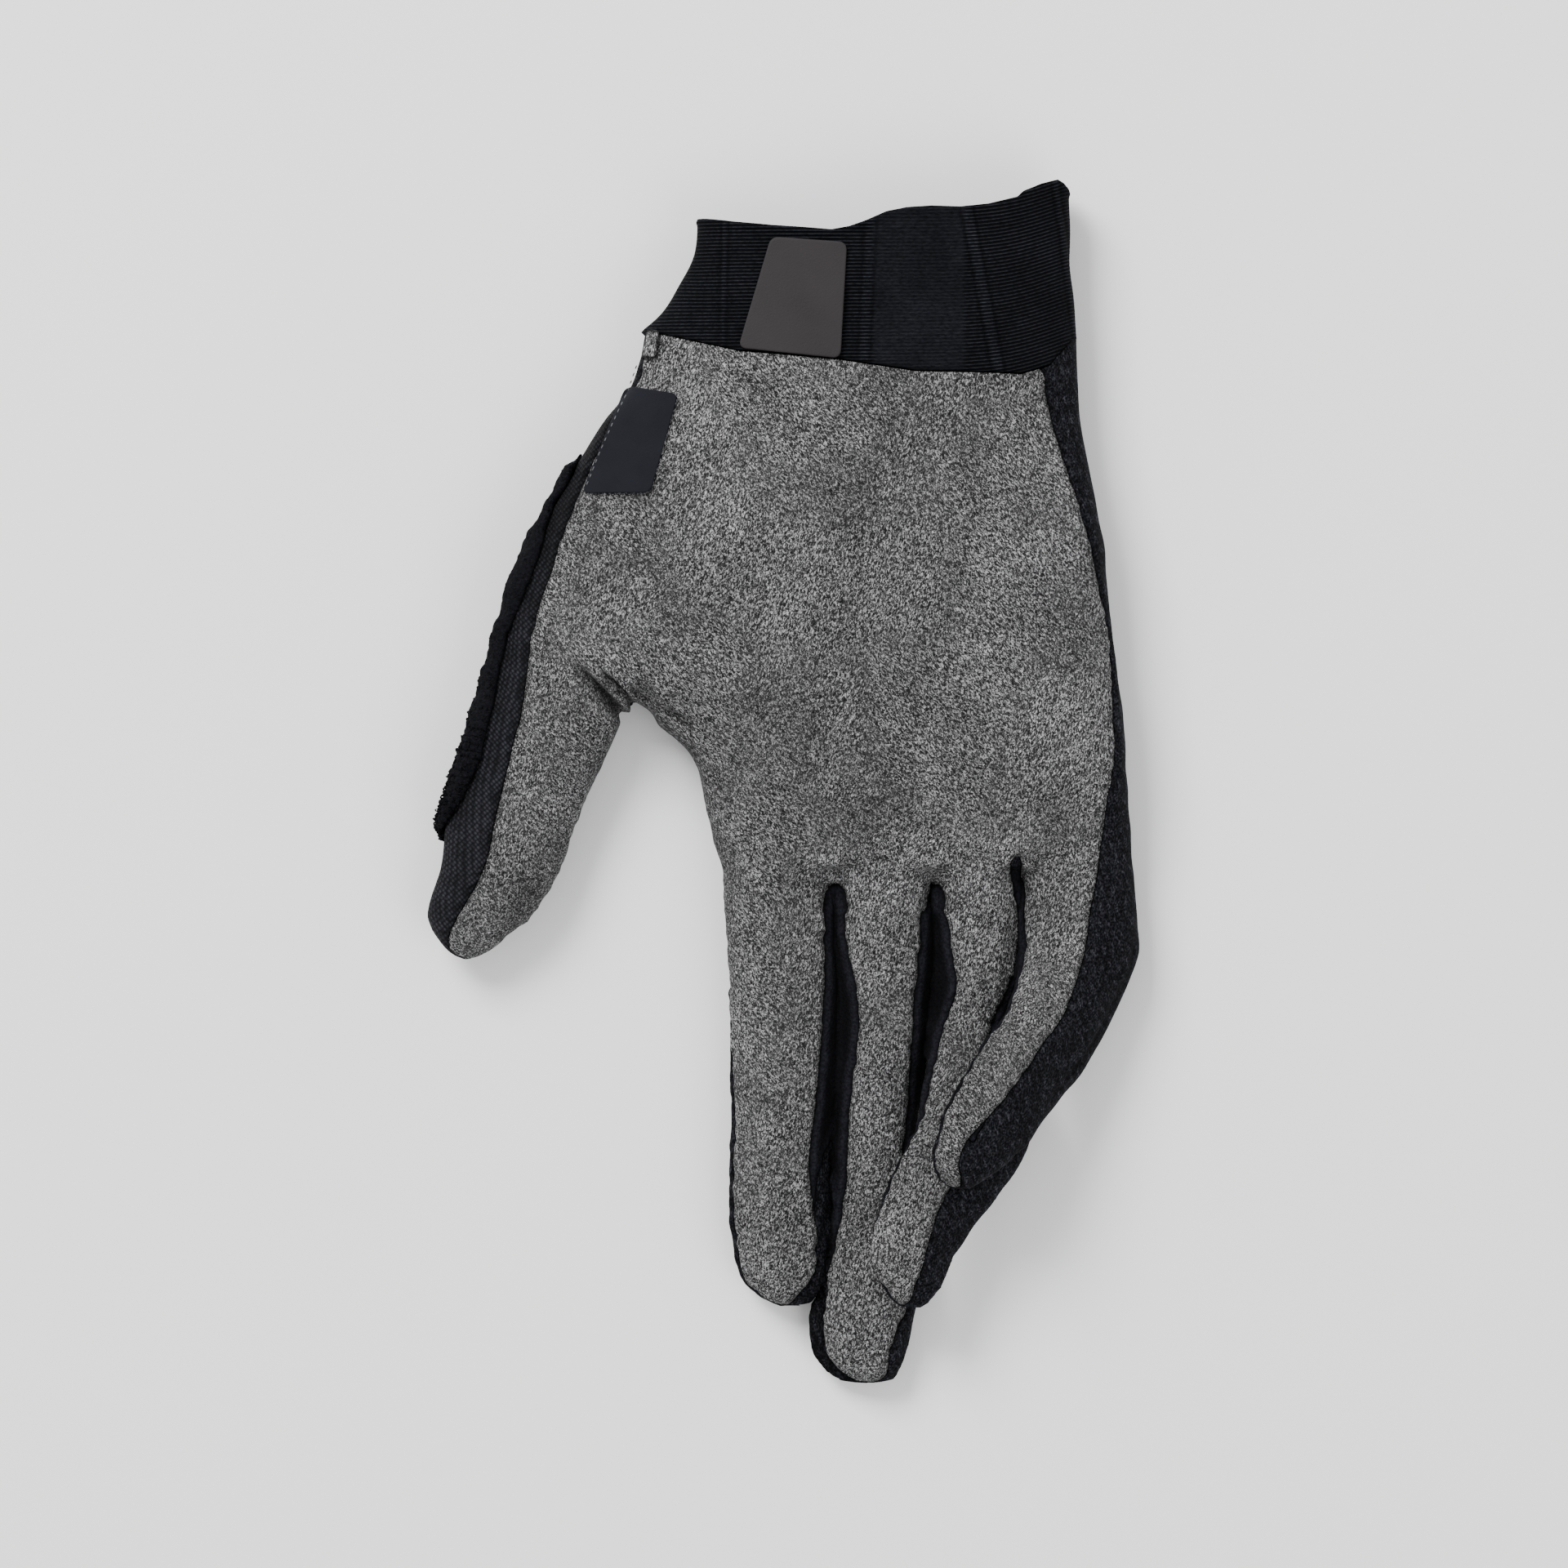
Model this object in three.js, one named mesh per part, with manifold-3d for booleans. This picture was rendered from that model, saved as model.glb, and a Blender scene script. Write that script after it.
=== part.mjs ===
// A right-hand full-finger mountain bike glove, lying on its back with the palm up.
// Millimetres, +Z up, +Y towards the cuff, +X towards the little finger.
// The hand is a set of tubes whose sections are upright cuts across Y. The tubes are joined, hollowed,
// and then parted along the seams into the sewn panels.
import * as THREE from 'three';
import { mergeVertices } from 'three/addons/utils/BufferGeometryUtils.js';
import Module from 'manifold-3d';

const wasm = await Module();
wasm.setup();

// Driving dimensions: the hand
const palmLength = 101; // cuff seam to the ends of the palm, where the fingers begin
const palmWidth = 80.8; // across the knuckles
const palmHeight = 24; // back of the hand to the palm, with the glove lying filled out
const fingerHeight = 15; // a finger's height where it leaves the palm

// Driving dimensions: each digit's length beyond its root and its width at the root
const thumbLength = 76.5;
const thumbWidth = 26;
const indexLength = 82.4;
const indexWidth = 21.1;
const middleLength = 97.9;
const middleWidth = 18.2;
const ringLength = 86.1;
const ringWidth = 15.8;
const littleLength = 64.5;
const littleWidth = 22.4;

// Driving dimensions: fabric and trim
const fabric = 1.4; // suede and knit panels
const elastic = 1.8; // cuff band
const rubber = 1.1; // label patches
const terry = 1.7; // wiping strip on the thumb
const seamGap = 0.3; // between pieces that are sewn together
const cuffGap = 0.6; // between the panels and the cuff band
const cuffHeight = 24.5; // cuff band along the hand, at its middle
const cuffWidth = 72.8; // cuff band across its open end
const cuffPatchWidth = 18.6;
const cuffPatchHeight = 22;
const palmPatchWidth = 12.5;
const palmPatchHeight = 20;
const patchCorner = 1.6; // corner radius of both patches
const sideTabWidth = 3.1;
const sideTabHeight = 5.2;

// How square a section is: 2 is an ellipse, more is fuller at its corners
const palmFullness = 2.6;
const digitFullness = 2;

// How finely the sections are faceted, and how far a parting body reaches past a wall
const palmSides = 20;
const digitSides = 12;
const hollowSides = 8; // a digit's hollow
const partingSteps = 8;
const partingReach = 0.25;
const partingDepth = 1.6;

// Palm sections. along is a share of palmLength from the cuff seam. left and right are shares of
// palmWidth from the middle of the knuckles. low and high are shares of palmHeight. The seams are
// turns in degrees from the top of the section, -90 at its left edge and 90 at its right edge.
const palmRows = [
  { along: -0.13, left: -0.680, right: 0.350, low: -0.02, high: 0.78, seamLeft: -80, seamRight: 56 },
  { along: 0.000, left: -0.700, right: 0.355, low: -0.05, high: 0.84, seamLeft: -80, seamRight: 56 },
  { along: 0.071, left: -0.728, right: 0.359, low: -0.06, high: 0.88, seamLeft: -78, seamRight: 55 },
  { along: 0.142, left: -0.795, right: 0.363, low: -0.06, high: 0.92, seamLeft: -72, seamRight: 59 },
  { along: 0.380, left: -0.963, right: 0.423, low: -0.06, high: 1.00, seamLeft: -62, seamRight: 70 },
  { along: 0.475, left: -1.012, right: 0.433, low: -0.06, high: 1.00, seamLeft: -60, seamRight: 75 },
  { along: 0.570, left: -1.024, right: 0.447, low: -0.06, high: 1.00, seamLeft: -64, seamRight: 82 },
  { along: 0.617, left: -0.980, right: 0.454, low: -0.06, high: 0.99, seamLeft: -78, seamRight: 77 },
  { along: 0.665, left: -0.839, right: 0.462, low: -0.06, high: 0.98, seamLeft: -90, seamRight: 75 },
  { along: 0.697, left: -0.726, right: 0.468, low: -0.06, high: 0.96, seamLeft: -90, seamRight: 72 },
  { along: 0.807, left: -0.565, right: 0.474, low: -0.06, high: 0.89, seamLeft: -90, seamRight: 67 },
  { along: 0.854, left: -0.550, right: 0.478, low: -0.06, high: 0.84, seamLeft: -90, seamRight: 61 },
  { along: 0.950, left: -0.524, right: 0.490, low: -0.06, high: 0.71, seamLeft: -90, seamRight: 54 },
  { along: 1.000, left: -0.508, right: 0.496, low: -0.06, high: 0.64, seamLeft: -90, seamRight: 51 },
];

// Digit sections. along is a share of the digit's length from its root. left and right are shares of
// its width from its root's middle. low and high are shares of fingerHeight. The seams turn as above.
// lean is how far the left edge stands above the right one, as a share of fingerHeight.
const thumbRows = [
  { along: 0.000, left: -0.50, right: 0.48, low: 0.12, high: 1.20, seamLeft: -36, seamRight: 95 },
  { along: 0.126, left: -0.64, right: 0.48, low: 0.12, high: 1.26, seamLeft: -37, seamRight: 96 },
  { along: 0.251, left: -0.72, right: 0.35, low: 0.12, high: 1.24, seamLeft: -32, seamRight: 100 },
  { along: 0.377, left: -0.84, right: 0.26, low: 0.13, high: 1.19, seamLeft: -25, seamRight: 100 },
  { along: 0.628, left: -1.06, right: -0.07, low: 0.14, high: 1.11, seamLeft: -15, seamRight: 100 },
  { along: 0.753, left: -1.11, right: -0.21, low: 0.15, high: 1.06, seamLeft: -15, seamRight: 100 },
  { along: 0.879, left: -1.21, right: -0.44, low: 0.20, high: 0.95, seamLeft: -23, seamRight: 100 },
  { along: 0.921, left: -1.17, right: -0.57, low: 0.25, high: 0.88, seamLeft: -34, seamRight: 100 },
  { along: 0.962, left: -1.08, right: -0.71, low: 0.32, high: 0.78, seamLeft: -60, seamRight: 100 },
  { along: 0.987, left: -1.01, right: -0.82, low: 0.40, high: 0.68, seamLeft: -75, seamRight: 100 },
  { along: 1.000, left: -0.94, right: -0.91, low: 0.50, high: 0.57, seamLeft: -80, seamRight: 100 },
];
const indexRows = [
  { along: -0.098, left: -0.50, right: 0.57, low: -0.08, high: 1.00, seamLeft: -90, seamRight: 66 },
  { along: 0.010, left: -0.50, right: 0.50, low: -0.08, high: 0.99, seamLeft: -90, seamRight: 62 },
  { along: 0.082, left: -0.48, right: 0.52, low: -0.08, high: 0.97, seamLeft: -86, seamRight: 52 },
  { along: 0.295, left: -0.46, right: 0.54, low: -0.08, high: 0.93, seamLeft: -76, seamRight: 44 },
  { along: 0.528, left: -0.42, right: 0.52, low: -0.08, high: 0.90, seamLeft: -64, seamRight: 36 },
  { along: 0.645, left: -0.43, right: 0.48, low: -0.08, high: 0.87, seamLeft: -64, seamRight: 32 },
  { along: 0.761, left: -0.44, right: 0.46, low: -0.07, high: 0.85, seamLeft: -72, seamRight: 36 },
  { along: 0.858, left: -0.41, right: 0.44, low: -0.05, high: 0.80, seamLeft: -71, seamRight: 47 },
  { along: 0.926, left: -0.35, right: 0.42, low: 0.00, high: 0.72, seamLeft: -74, seamRight: 43 },
  { along: 0.975, left: -0.17, right: 0.29, low: 0.10, high: 0.58, seamLeft: -69, seamRight: 32 },
  { along: 1.000, left: 0.02, right: 0.11, low: 0.30, high: 0.40, seamLeft: -60, seamRight: 40 },
];
const middleRows = [
  { along: -0.080, left: -0.61, right: 0.60, low: -0.08, high: 1.00, seamLeft: -66, seamRight: 70 },
  { along: 0.012, left: -0.47, right: 0.50, low: -0.08, high: 0.99, seamLeft: -61, seamRight: 62 },
  { along: 0.072, left: -0.47, right: 0.53, low: -0.08, high: 0.97, seamLeft: -52, seamRight: 46 },
  { along: 0.252, left: -0.42, right: 0.52, low: -0.08, high: 0.92, seamLeft: -39, seamRight: 34 },
  { along: 0.448, left: -0.47, right: 0.40, low: -0.08, high: 0.81, seamLeft: -48, seamRight: 50 },
  { along: 0.644, left: -0.54, right: 0.36, low: -0.07, high: 0.72, seamLeft: -47, seamRight: 35 },
  { along: 0.807, left: -0.60, right: 0.40, low: -0.06, high: 0.71, seamLeft: -76, seamRight: 42 },
  { along: 0.889, left: -0.64, right: 0.34, low: -0.04, high: 0.69, seamLeft: -79, seamRight: 40 },
  { along: 0.946, left: -0.58, right: 0.27, low: 0.02, high: 0.62, seamLeft: -78, seamRight: 36 },
  { along: 0.984, left: -0.37, right: 0.14, low: 0.12, high: 0.50, seamLeft: -75, seamRight: 44 },
  { along: 1.000, left: -0.17, right: -0.06, low: 0.26, high: 0.35, seamLeft: -70, seamRight: 50 },
];
const ringRows = [
  { along: -0.067, left: -0.60, right: 0.60, low: -0.08, high: 1.00, seamLeft: -68, seamRight: 66 },
  { along: 0.000, left: -0.53, right: 0.53, low: -0.08, high: 1.00, seamLeft: -64, seamRight: 62 },
  { along: 0.100, left: -0.47, right: 0.53, low: -0.08, high: 0.97, seamLeft: -53, seamRight: 53 },
  { along: 0.175, left: -0.46, right: 0.53, low: -0.05, high: 0.95, seamLeft: -40, seamRight: 58 },
  { along: 0.268, left: -0.48, right: 0.52, low: 0.00, high: 0.92, seamLeft: -33, seamRight: 51, lean: 0.05 },
  { along: 0.361, left: -0.53, right: 0.51, low: 0.08, high: 0.88, seamLeft: -47, seamRight: 24, lean: 0.15 },
  { along: 0.454, left: -0.59, right: 0.56, low: 0.20, high: 0.92, seamLeft: -66, seamRight: 23, lean: 0.3 },
  { along: 0.546, left: -0.68, right: 0.69, low: 0.36, high: 1.06, seamLeft: -73, seamRight: 9, lean: 0.45 },
  { along: 0.621, left: -0.86, right: 0.69, low: 0.50, high: 1.18, seamLeft: -77, seamRight: 4, lean: 0.55 },
  { along: 0.695, left: -1.07, right: 0.48, low: 0.62, high: 1.28, seamLeft: -77, seamRight: 5, lean: 0.55 },
  { along: 0.770, left: -1.22, right: 0.18, low: 0.72, high: 1.34, seamLeft: -76, seamRight: 6, lean: 0.45 },
  { along: 0.844, left: -1.32, right: -0.14, low: 0.77, high: 1.36, seamLeft: -75, seamRight: 15, lean: 0.3 },
  { along: 0.909, left: -1.29, right: -0.42, low: 0.80, high: 1.33, seamLeft: -72, seamRight: 25, lean: 0.15 },
  { along: 0.959, left: -1.11, right: -0.65, low: 0.86, high: 1.24, seamLeft: -73, seamRight: 29, lean: 0.05 },
  { along: 1.000, left: -0.95, right: -0.85, low: 1.00, high: 1.10, seamLeft: -70, seamRight: 40 },
];
const littleRows = [
  { along: -0.087, left: -0.56, right: 0.48, low: -0.08, high: 1.00, seamLeft: -70, seamRight: 26 },
  { along: 0.000, left: -0.51, right: 0.49, low: -0.08, high: 1.02, seamLeft: -68, seamRight: 21 },
  { along: 0.087, left: -0.47, right: 0.51, low: -0.08, high: 1.04, seamLeft: -74, seamRight: 15 },
  { along: 0.186, left: -0.47, right: 0.54, low: -0.08, high: 1.08, seamLeft: -76, seamRight: 8, lean: 0.1 },
  { along: 0.273, left: -0.47, right: 0.55, low: -0.04, high: 1.14, seamLeft: -77, seamRight: 4, lean: 0.25 },
  { along: 0.360, left: -0.53, right: 0.46, low: 0.10, high: 1.24, seamLeft: -78, seamRight: 3, lean: 0.45 },
  { along: 0.459, left: -0.64, right: 0.33, low: 0.34, high: 1.36, seamLeft: -79, seamRight: 6, lean: 0.7 },
  { along: 0.558, left: -0.84, right: 0.19, low: 0.58, high: 1.50, seamLeft: -80, seamRight: 1, lean: 0.9 },
  { along: 0.658, left: -1.02, right: 0.01, low: 0.82, high: 1.64, seamLeft: -80, seamRight: -1, lean: 0.9 },
  { along: 0.757, left: -1.16, right: -0.22, low: 1.04, high: 1.76, seamLeft: -80, seamRight: -7, lean: 0.75 },
  { along: 0.844, left: -1.24, right: -0.41, low: 1.20, high: 1.84, seamLeft: -79, seamRight: -21, lean: 0.5 },
  { along: 0.911, left: -1.26, right: -0.59, low: 1.28, high: 1.84, seamLeft: -78, seamRight: -21, lean: 0.3 },
  { along: 0.960, left: -1.21, right: -0.78, low: 1.36, high: 1.76, seamLeft: -75, seamRight: -8, lean: 0.1 },
  { along: 1.000, left: -1.10, right: -0.98, low: 1.50, high: 1.62, seamLeft: -70, seamRight: 0 },
];

// Where each digit's root sits: across is a share of palmWidth from the middle of the knuckles and
// along a share of palmLength from the cuff seam. reach is the length beyond the root.
const digits = {
  thumb: { rows: thumbRows, length: thumbLength, width: thumbWidth, across: -0.829, along: 0.428 },
  index: { rows: indexRows, length: indexLength, width: indexWidth, across: -0.369, along: 1.041 },
  middle: { rows: middleRows, length: middleLength, width: middleWidth, across: -0.118, along: 1.038 },
  ring: { rows: ringRows, length: ringLength, width: ringWidth, across: 0.110, along: 1.006 },
  little: { rows: littleRows, length: littleLength, width: littleWidth, across: 0.357, along: 0.989 },
};

// The section of a tube at one row, in millimetres. grow moves its surface out, or in when negative.
function palmSection(row, grow) {
  const endShift = row.along === 1 ? grow : 0;
  return section(row, -row.along * palmLength - endShift, 0, palmWidth, palmHeight, palmFullness, grow);
}

function digitSection(digit, row, grow) {
  const tipShift = row.along > 0.9 ? grow : 0;
  const y = -digit.along * palmLength - row.along * digit.length - tipShift;
  return section(row, y, digit.across * palmWidth, digit.width, fingerHeight, digitFullness, grow);
}

function section(row, y, middle, width, height, fullness, grow) {
  const halfWidth = (row.right - row.left) * width / 2;
  const halfHeight = (row.high - row.low) * height / 2;
  return {
    y,
    x: middle + (row.left + row.right) * width / 2,
    z: (row.low + row.high) * height / 2,
    halfWidth: Math.max(halfWidth + grow, 0.25),
    halfHeight: Math.max(halfHeight + grow, 0.25),
    slope: (row.lean ?? 0) * height / (2 * halfWidth),
    fullness,
    seamLeft: row.seamLeft,
    seamRight: row.seamRight,
  };
}

// A point on a section, at a turn in degrees from its top towards its right edge.
function onSection(cut, turn) {
  const angle = THREE.MathUtils.degToRad(turn);
  const across = Math.sign(Math.sin(angle)) * Math.abs(Math.sin(angle)) ** (2 / cut.fullness);
  const up = Math.sign(Math.cos(angle)) * Math.abs(Math.cos(angle)) ** (2 / cut.fullness);
  const side = across * cut.halfWidth;
  return new THREE.Vector3(cut.x + side, cut.y, cut.z + up * cut.halfHeight - side * cut.slope);
}

// The turn that a step of one length makes along a section's edge.
function turnOf(cut, turn, step) {
  const speed = onSection(cut, turn + 1).distanceTo(onSection(cut, turn - 1)) / 2;
  return Math.min(step / Math.max(speed, 0.01), 35);
}

// A closed body through rings that all have the same even number of points. Its ends are closed by
// strips from the ring's first half to its second half, or its last ring is joined to its first.
function skin(rings, endless = false) {
  const count = rings[0].length;
  const positions = rings.flat().flatMap((point) => point.toArray());
  const faces = [];
  const quad = (a, b, c, d) => faces.push(a, b, c, a, c, d);
  for (let ring = 0; ring < rings.length - (endless ? 0 : 1); ring += 1) {
    const start = ring * count;
    const after = ((ring + 1) % rings.length) * count;
    for (let i = 0; i < count; i += 1) {
      const next = (i + 1) % count;
      quad(start + i, start + next, after + next, after + i);
    }
  }
  const last = (rings.length - 1) * count;
  for (let i = 0; !endless && i < count / 2 - 1; i += 1) {
    quad(i + 1, i, count - 1 - i, count - 2 - i);
    quad(last + i, last + i + 1, last + count - 2 - i, last + count - 1 - i);
  }
  const geometry = new THREE.BufferGeometry();
  geometry.setAttribute('position', new THREE.Float32BufferAttribute(positions, 3));
  geometry.setIndex(signedVolume(positions, faces) < 0 ? faces.reverse() : faces);
  return geometry;
}

function signedVolume(positions, faces) {
  const corner = (i) => new THREE.Vector3().fromArray(positions, faces[i] * 3);
  let volume = 0;
  for (let i = 0; i < faces.length; i += 3) {
    volume += corner(i).dot(corner(i + 1).cross(corner(i + 2))) / 6;
  }
  return volume;
}

// A solid for joins and cuts, from any closed geometry.
function solid(geometry) {
  const bare = geometry.clone();
  bare.deleteAttribute('normal');
  bare.deleteAttribute('uv');
  const merged = mergeVertices(bare, 1e-5);
  const vertProperties = new Float32Array(merged.attributes.position.array);
  const triVerts = new Uint32Array(merged.index.array);
  return new wasm.Manifold(new wasm.Mesh({ numProp: 3, vertProperties, triVerts }));
}

function joined(solids) {
  return solids.reduce((whole, next) => whole.add(next));
}

// A tube's full body, with its sections moved out or in by grow.
function tube(cuts, sides) {
  const turns = Array.from({ length: sides }, (_, i) => (i + 0.5) * 360 / sides);
  return solid(skin(cuts.map((cut) => turns.map((turn) => onSection(cut, turn)))));
}

// A parting body: the stretch of a tube's wall between two turns, with a little to spare on both sides.
// cutsAt gives the tube's sections for one grow. With a gap, the body is larger by it all round.
function parting(cutsAt, gap, turnsOf) {
  const outerCuts = cutsAt(partingReach + gap / 2);
  const innerCuts = cutsAt(-(fabric + partingDepth + gap));
  const rings = outerCuts.map((outer, i) => {
    const [from, to] = turnsOf(outer);
    const first = from - turnOf(outer, from, gap);
    const last = to + turnOf(outer, to, gap);
    const turns = Array.from({ length: partingSteps + 1 }, (_, k) => first + (last - first) * k / partingSteps);
    const inside = turns.map((turn) => onSection(innerCuts[i], turn)).reverse();
    return [...turns.map((turn) => onSection(outer, turn)), ...inside];
  });
  for (const point of rings[0]) point.y += gap;
  for (const point of rings.at(-1)) point.y -= gap;
  return solid(skin(rings));
}

const palmCuts = (grow) => palmRows.map((row) => palmSection(row, grow));
const digitCuts = (digit, grow, end = 1) => digit.rows
  .filter((row) => row.along <= end)
  .map((row) => digitSection(digit, row, grow));

// Half spaces, as boxes larger than the glove.
const reach = 4 * (palmLength + middleLength);
function boxAbove(z) {
  return solid(new THREE.BoxGeometry(reach, reach, reach).translate(0, 0, z + reach / 2));
}

// An upright prism with the given outline in the plan.
function prism(points, from, to) {
  const outline = new THREE.Shape(points);
  const geometry = new THREE.ExtrudeGeometry(outline, { depth: to - from, bevelEnabled: false });
  return solid(geometry.translate(0, 0, from));
}

// A height in the plan, from a share of palmLength past the cuff seam, and a place across the palm.
const plan = (across, along) => new THREE.Vector2(across * palmWidth, -along * palmLength);

// The height of a line in the plan at one x. Its points run from left to right.
function lineAt(points, x) {
  const next = points.findIndex((point) => point.x >= x);
  if (next === 0) return points[0].y;
  if (next < 0) return points.at(-1).y;
  const [a, b] = [points[next - 1], points[next]];
  return THREE.MathUtils.mapLinear(x, a.x, b.x, a.y, b.y);
}

// An outline with its corners rounded.
function roundedOutline(corners, radius) {
  const outline = new THREE.Shape();
  corners.forEach((corner, i) => {
    const before = corners.at(i - 1);
    const after = corners[(i + 1) % corners.length];
    const into = corner.clone().add(before.clone().sub(corner).setLength(radius));
    const out = corner.clone().add(after.clone().sub(corner).setLength(radius));
    if (i === 0) outline.moveTo(into.x, into.y);
    else outline.lineTo(into.x, into.y);
    outline.quadraticCurveTo(corner.x, corner.y, out.x, out.y);
  });
  outline.closePath();
  return outline.getPoints(3).slice(0, -1);
}

// The cuff seam, where the band meets the panels. It dips towards the little finger.
const cuffSeam = [
  plan(-1.20, -0.040),
  plan(-0.690, -0.041),
  plan(-0.571, -0.019),
  plan(-0.462, 0.000),
  plan(-0.219, 0.017),
  plan(-0.037, 0.039),
  plan(0.221, 0.044),
  plan(0.290, 0.028),
  plan(0.346, -0.028),
  plan(0.700, -0.040),
];

// The hand's outer body, its hollow, and the wall between them
const everyDigit = Object.values(digits);
function handBody(grow) {
  const sides = grow < 0 ? hollowSides : digitSides;
  const tubes = everyDigit.map((digit) => tube(digitCuts(digit, grow), sides));
  return joined([tube(palmCuts(grow), palmSides), ...tubes]);
}
const cuffZone = (drop) => prism([
  new THREE.Vector2(cuffSeam[0].x, reach),
  ...cuffSeam.map((point) => new THREE.Vector2(point.x, point.y - drop)),
  new THREE.Vector2(cuffSeam.at(-1).x, reach),
], -reach, reach);
const wall = handBody(0)
  .intersect(boxAbove(0))
  .subtract(handBody(-fabric).intersect(boxAbove(fabric)))
  .subtract(cuffZone(cuffGap));

// The palm panel covers the turns between the two seams on the palm and on every digit.
// Above endSeam, a share of palmHeight, it also has the palm's end wall between the fingers.
const endSeam = 0.4;
function palmParting(gap) {
  const seams = (cut) => [cut.seamLeft, cut.seamRight];
  const endRow = palmRows.at(-1);
  const endCuts = [-(fabric + partingDepth + gap), partingReach + gap / 2].map((grow) => palmSection(endRow, grow));
  endCuts[0].halfWidth = endCuts[1].halfWidth;
  endCuts[0].halfHeight = endCuts[1].halfHeight;
  return joined([
    parting(palmCuts, gap, seams),
    tube(endCuts, palmSides).intersect(boxAbove(endSeam * palmHeight - gap)),
    ...everyDigit.map((digit) => parting((grow) => digitCuts(digit, grow), gap, seams)),
  ]);
}

// A fourchette lines the sides of two neighbouring fingers and meets itself at their root.
const fourchetteTurn = 112; // how far round a finger's side it reaches
const fourchetteEnd = 0.77; // share of the finger's length where it has run out to a point
const fourchetteTaper = 0.4; // share of the finger's length where it begins to narrow
const fourchetteTip = 6; // its width at its point, in degrees
const underPalm = 8; // how far its parting reaches under the palm panel, in degrees
function fourchetteParting(fingerLeft, fingerRight, gap) {
  const farTurn = (cut, digit, seam) => {
    const along = (-cut.y - digit.along * palmLength) / digit.length;
    const taper = THREE.MathUtils.smoothstep(along, fourchetteTaper, fourchetteEnd);
    return THREE.MathUtils.lerp(fourchetteTurn, seam + fourchetteTip, taper);
  };
  const onRight = (cut) => [cut.seamRight - underPalm, farTurn(cut, fingerLeft, cut.seamRight)];
  const onLeft = (cut) => [-farTurn(cut, fingerRight, -cut.seamLeft), cut.seamLeft + underPalm];
  return parting((grow) => digitCuts(fingerLeft, grow, fourchetteEnd), gap, onRight)
    .add(parting((grow) => digitCuts(fingerRight, grow, fourchetteEnd), gap, onLeft));
}

// The hidden seam on the back of the hand, between the thumb's knit and the back panel.
const thumbSeam = [
  plan(-0.591, -0.30),
  plan(-0.591, -0.079),
  plan(-0.641, 0.143),
  plan(-0.670, 0.428),
  plan(-0.690, 0.586),
  plan(-0.712, 0.689),
  plan(-0.712, 2.200),
];
function thumbSide(shift) {
  const line = thumbSeam.map((point) => new THREE.Vector2(point.x + shift, point.y));
  const farLeft = new THREE.Vector2(-reach, line[0].y);
  return prism([farLeft, new THREE.Vector2(-reach, line.at(-1).y), ...line.toReversed()], -reach, reach);
}

// A parting can leave crumbs where two tubes cross. The panel is the largest body.
function largest(body) {
  return body.decompose().reduce((best, next) => (next.volume() > best.volume() ? next : best));
}

const palmPanel = largest(wall.intersect(palmParting(0)));
const underside = wall.subtract(palmParting(0)).subtract(palmParting(seamGap));
const fingerPairs = [
  ['fourchette_index', digits.index, digits.middle],
  ['fourchette_middle', digits.middle, digits.ring],
  ['fourchette_ring', digits.ring, digits.little],
];
const fourchettes = fingerPairs.map(([name, fingerLeft, fingerRight]) => (
  [name, largest(underside.intersect(fourchetteParting(fingerLeft, fingerRight, 0)))]
));
const back = fingerPairs.reduce((rest, [, fingerLeft, fingerRight], i) => rest
  .subtract(fourchetteParting(fingerLeft, fingerRight, seamGap))
  .subtract(fourchettes[i][1]), underside);
const backPanel = largest(back.subtract(thumbSide(seamGap / 2)));
const thumbBack = largest(back.intersect(thumbSide(-seamGap / 2)));

// The cuff band is a tapering ring between the cuff seam and its own open edge. Level 0 is the seam.
const cuffMiddle = -0.113; // the middle of the open edge, as a share of palmWidth
const cuffLow = 0.02; // of palmHeight, at the open edge
const cuffHigh = 0.80;
const cuffSides = 30;
const cuffLevels = [0, 0.2, 0.5, 0.8, 1];
// The open edge: x as a share of cuffWidth from its middle, y as a share of cuffHeight above the seam.
const cuffCentre = cuffMiddle * palmWidth;
const cuffEdge = (across, up) => new THREE.Vector2(cuffCentre + across * cuffWidth, up * cuffHeight);
const cuffEdgePalm = [
  cuffEdge(-0.50, 1.065),
  cuffEdge(-0.14, 0.954),
  cuffEdge(-0.047, 1.033),
  cuffEdge(0.063, 1.144),
  cuffEdge(0.348, 1.222),
  cuffEdge(0.504, 1.281),
];
const cuffEdgeBack = [
  cuffEdge(-0.50, 1.065),
  cuffEdge(0.10, 1.150),
  cuffEdge(0.366, 1.250),
  cuffEdge(0.465, 1.379),
  cuffEdge(0.504, 1.281),
];
function cuffPoint(turn, level, grow, floor) {
  const seamCut = palmSection(palmRows[1], grow);
  const edgeCut = section({
    left: -0.5, right: 0.5, low: cuffLow * palmHeight / cuffHeight, high: cuffHigh * palmHeight / cuffHeight,
  }, 0, cuffCentre, cuffWidth, cuffHeight, palmFullness, grow);
  const flare = 1 - (1 - level) ** 2;
  const point = onSection(seamCut, turn).lerp(onSection(edgeCut, turn), flare);
  const edge = Math.cos(THREE.MathUtils.degToRad(turn)) > 0 ? cuffEdgePalm : cuffEdgeBack;
  const y = THREE.MathUtils.lerp(lineAt(cuffSeam, point.x), lineAt(edge, point.x), level);
  return new THREE.Vector3(point.x, y, Math.max(point.z, floor));
}
function cuffRing(inGrow, outGrow, inFloor, outFloor) {
  const loops = Array.from({ length: cuffSides }, (_, i) => {
    const turn = (i + 0.5) * 360 / cuffSides;
    const outside = cuffLevels.map((level) => cuffPoint(turn, level, outGrow, outFloor));
    const inside = cuffLevels.map((level) => cuffPoint(turn, level, inGrow, inFloor)).reverse();
    return [...outside, ...inside];
  });
  return solid(skin(loops, true));
}
const cuffBand = cuffRing(-elastic, 0, elastic, 0);

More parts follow.
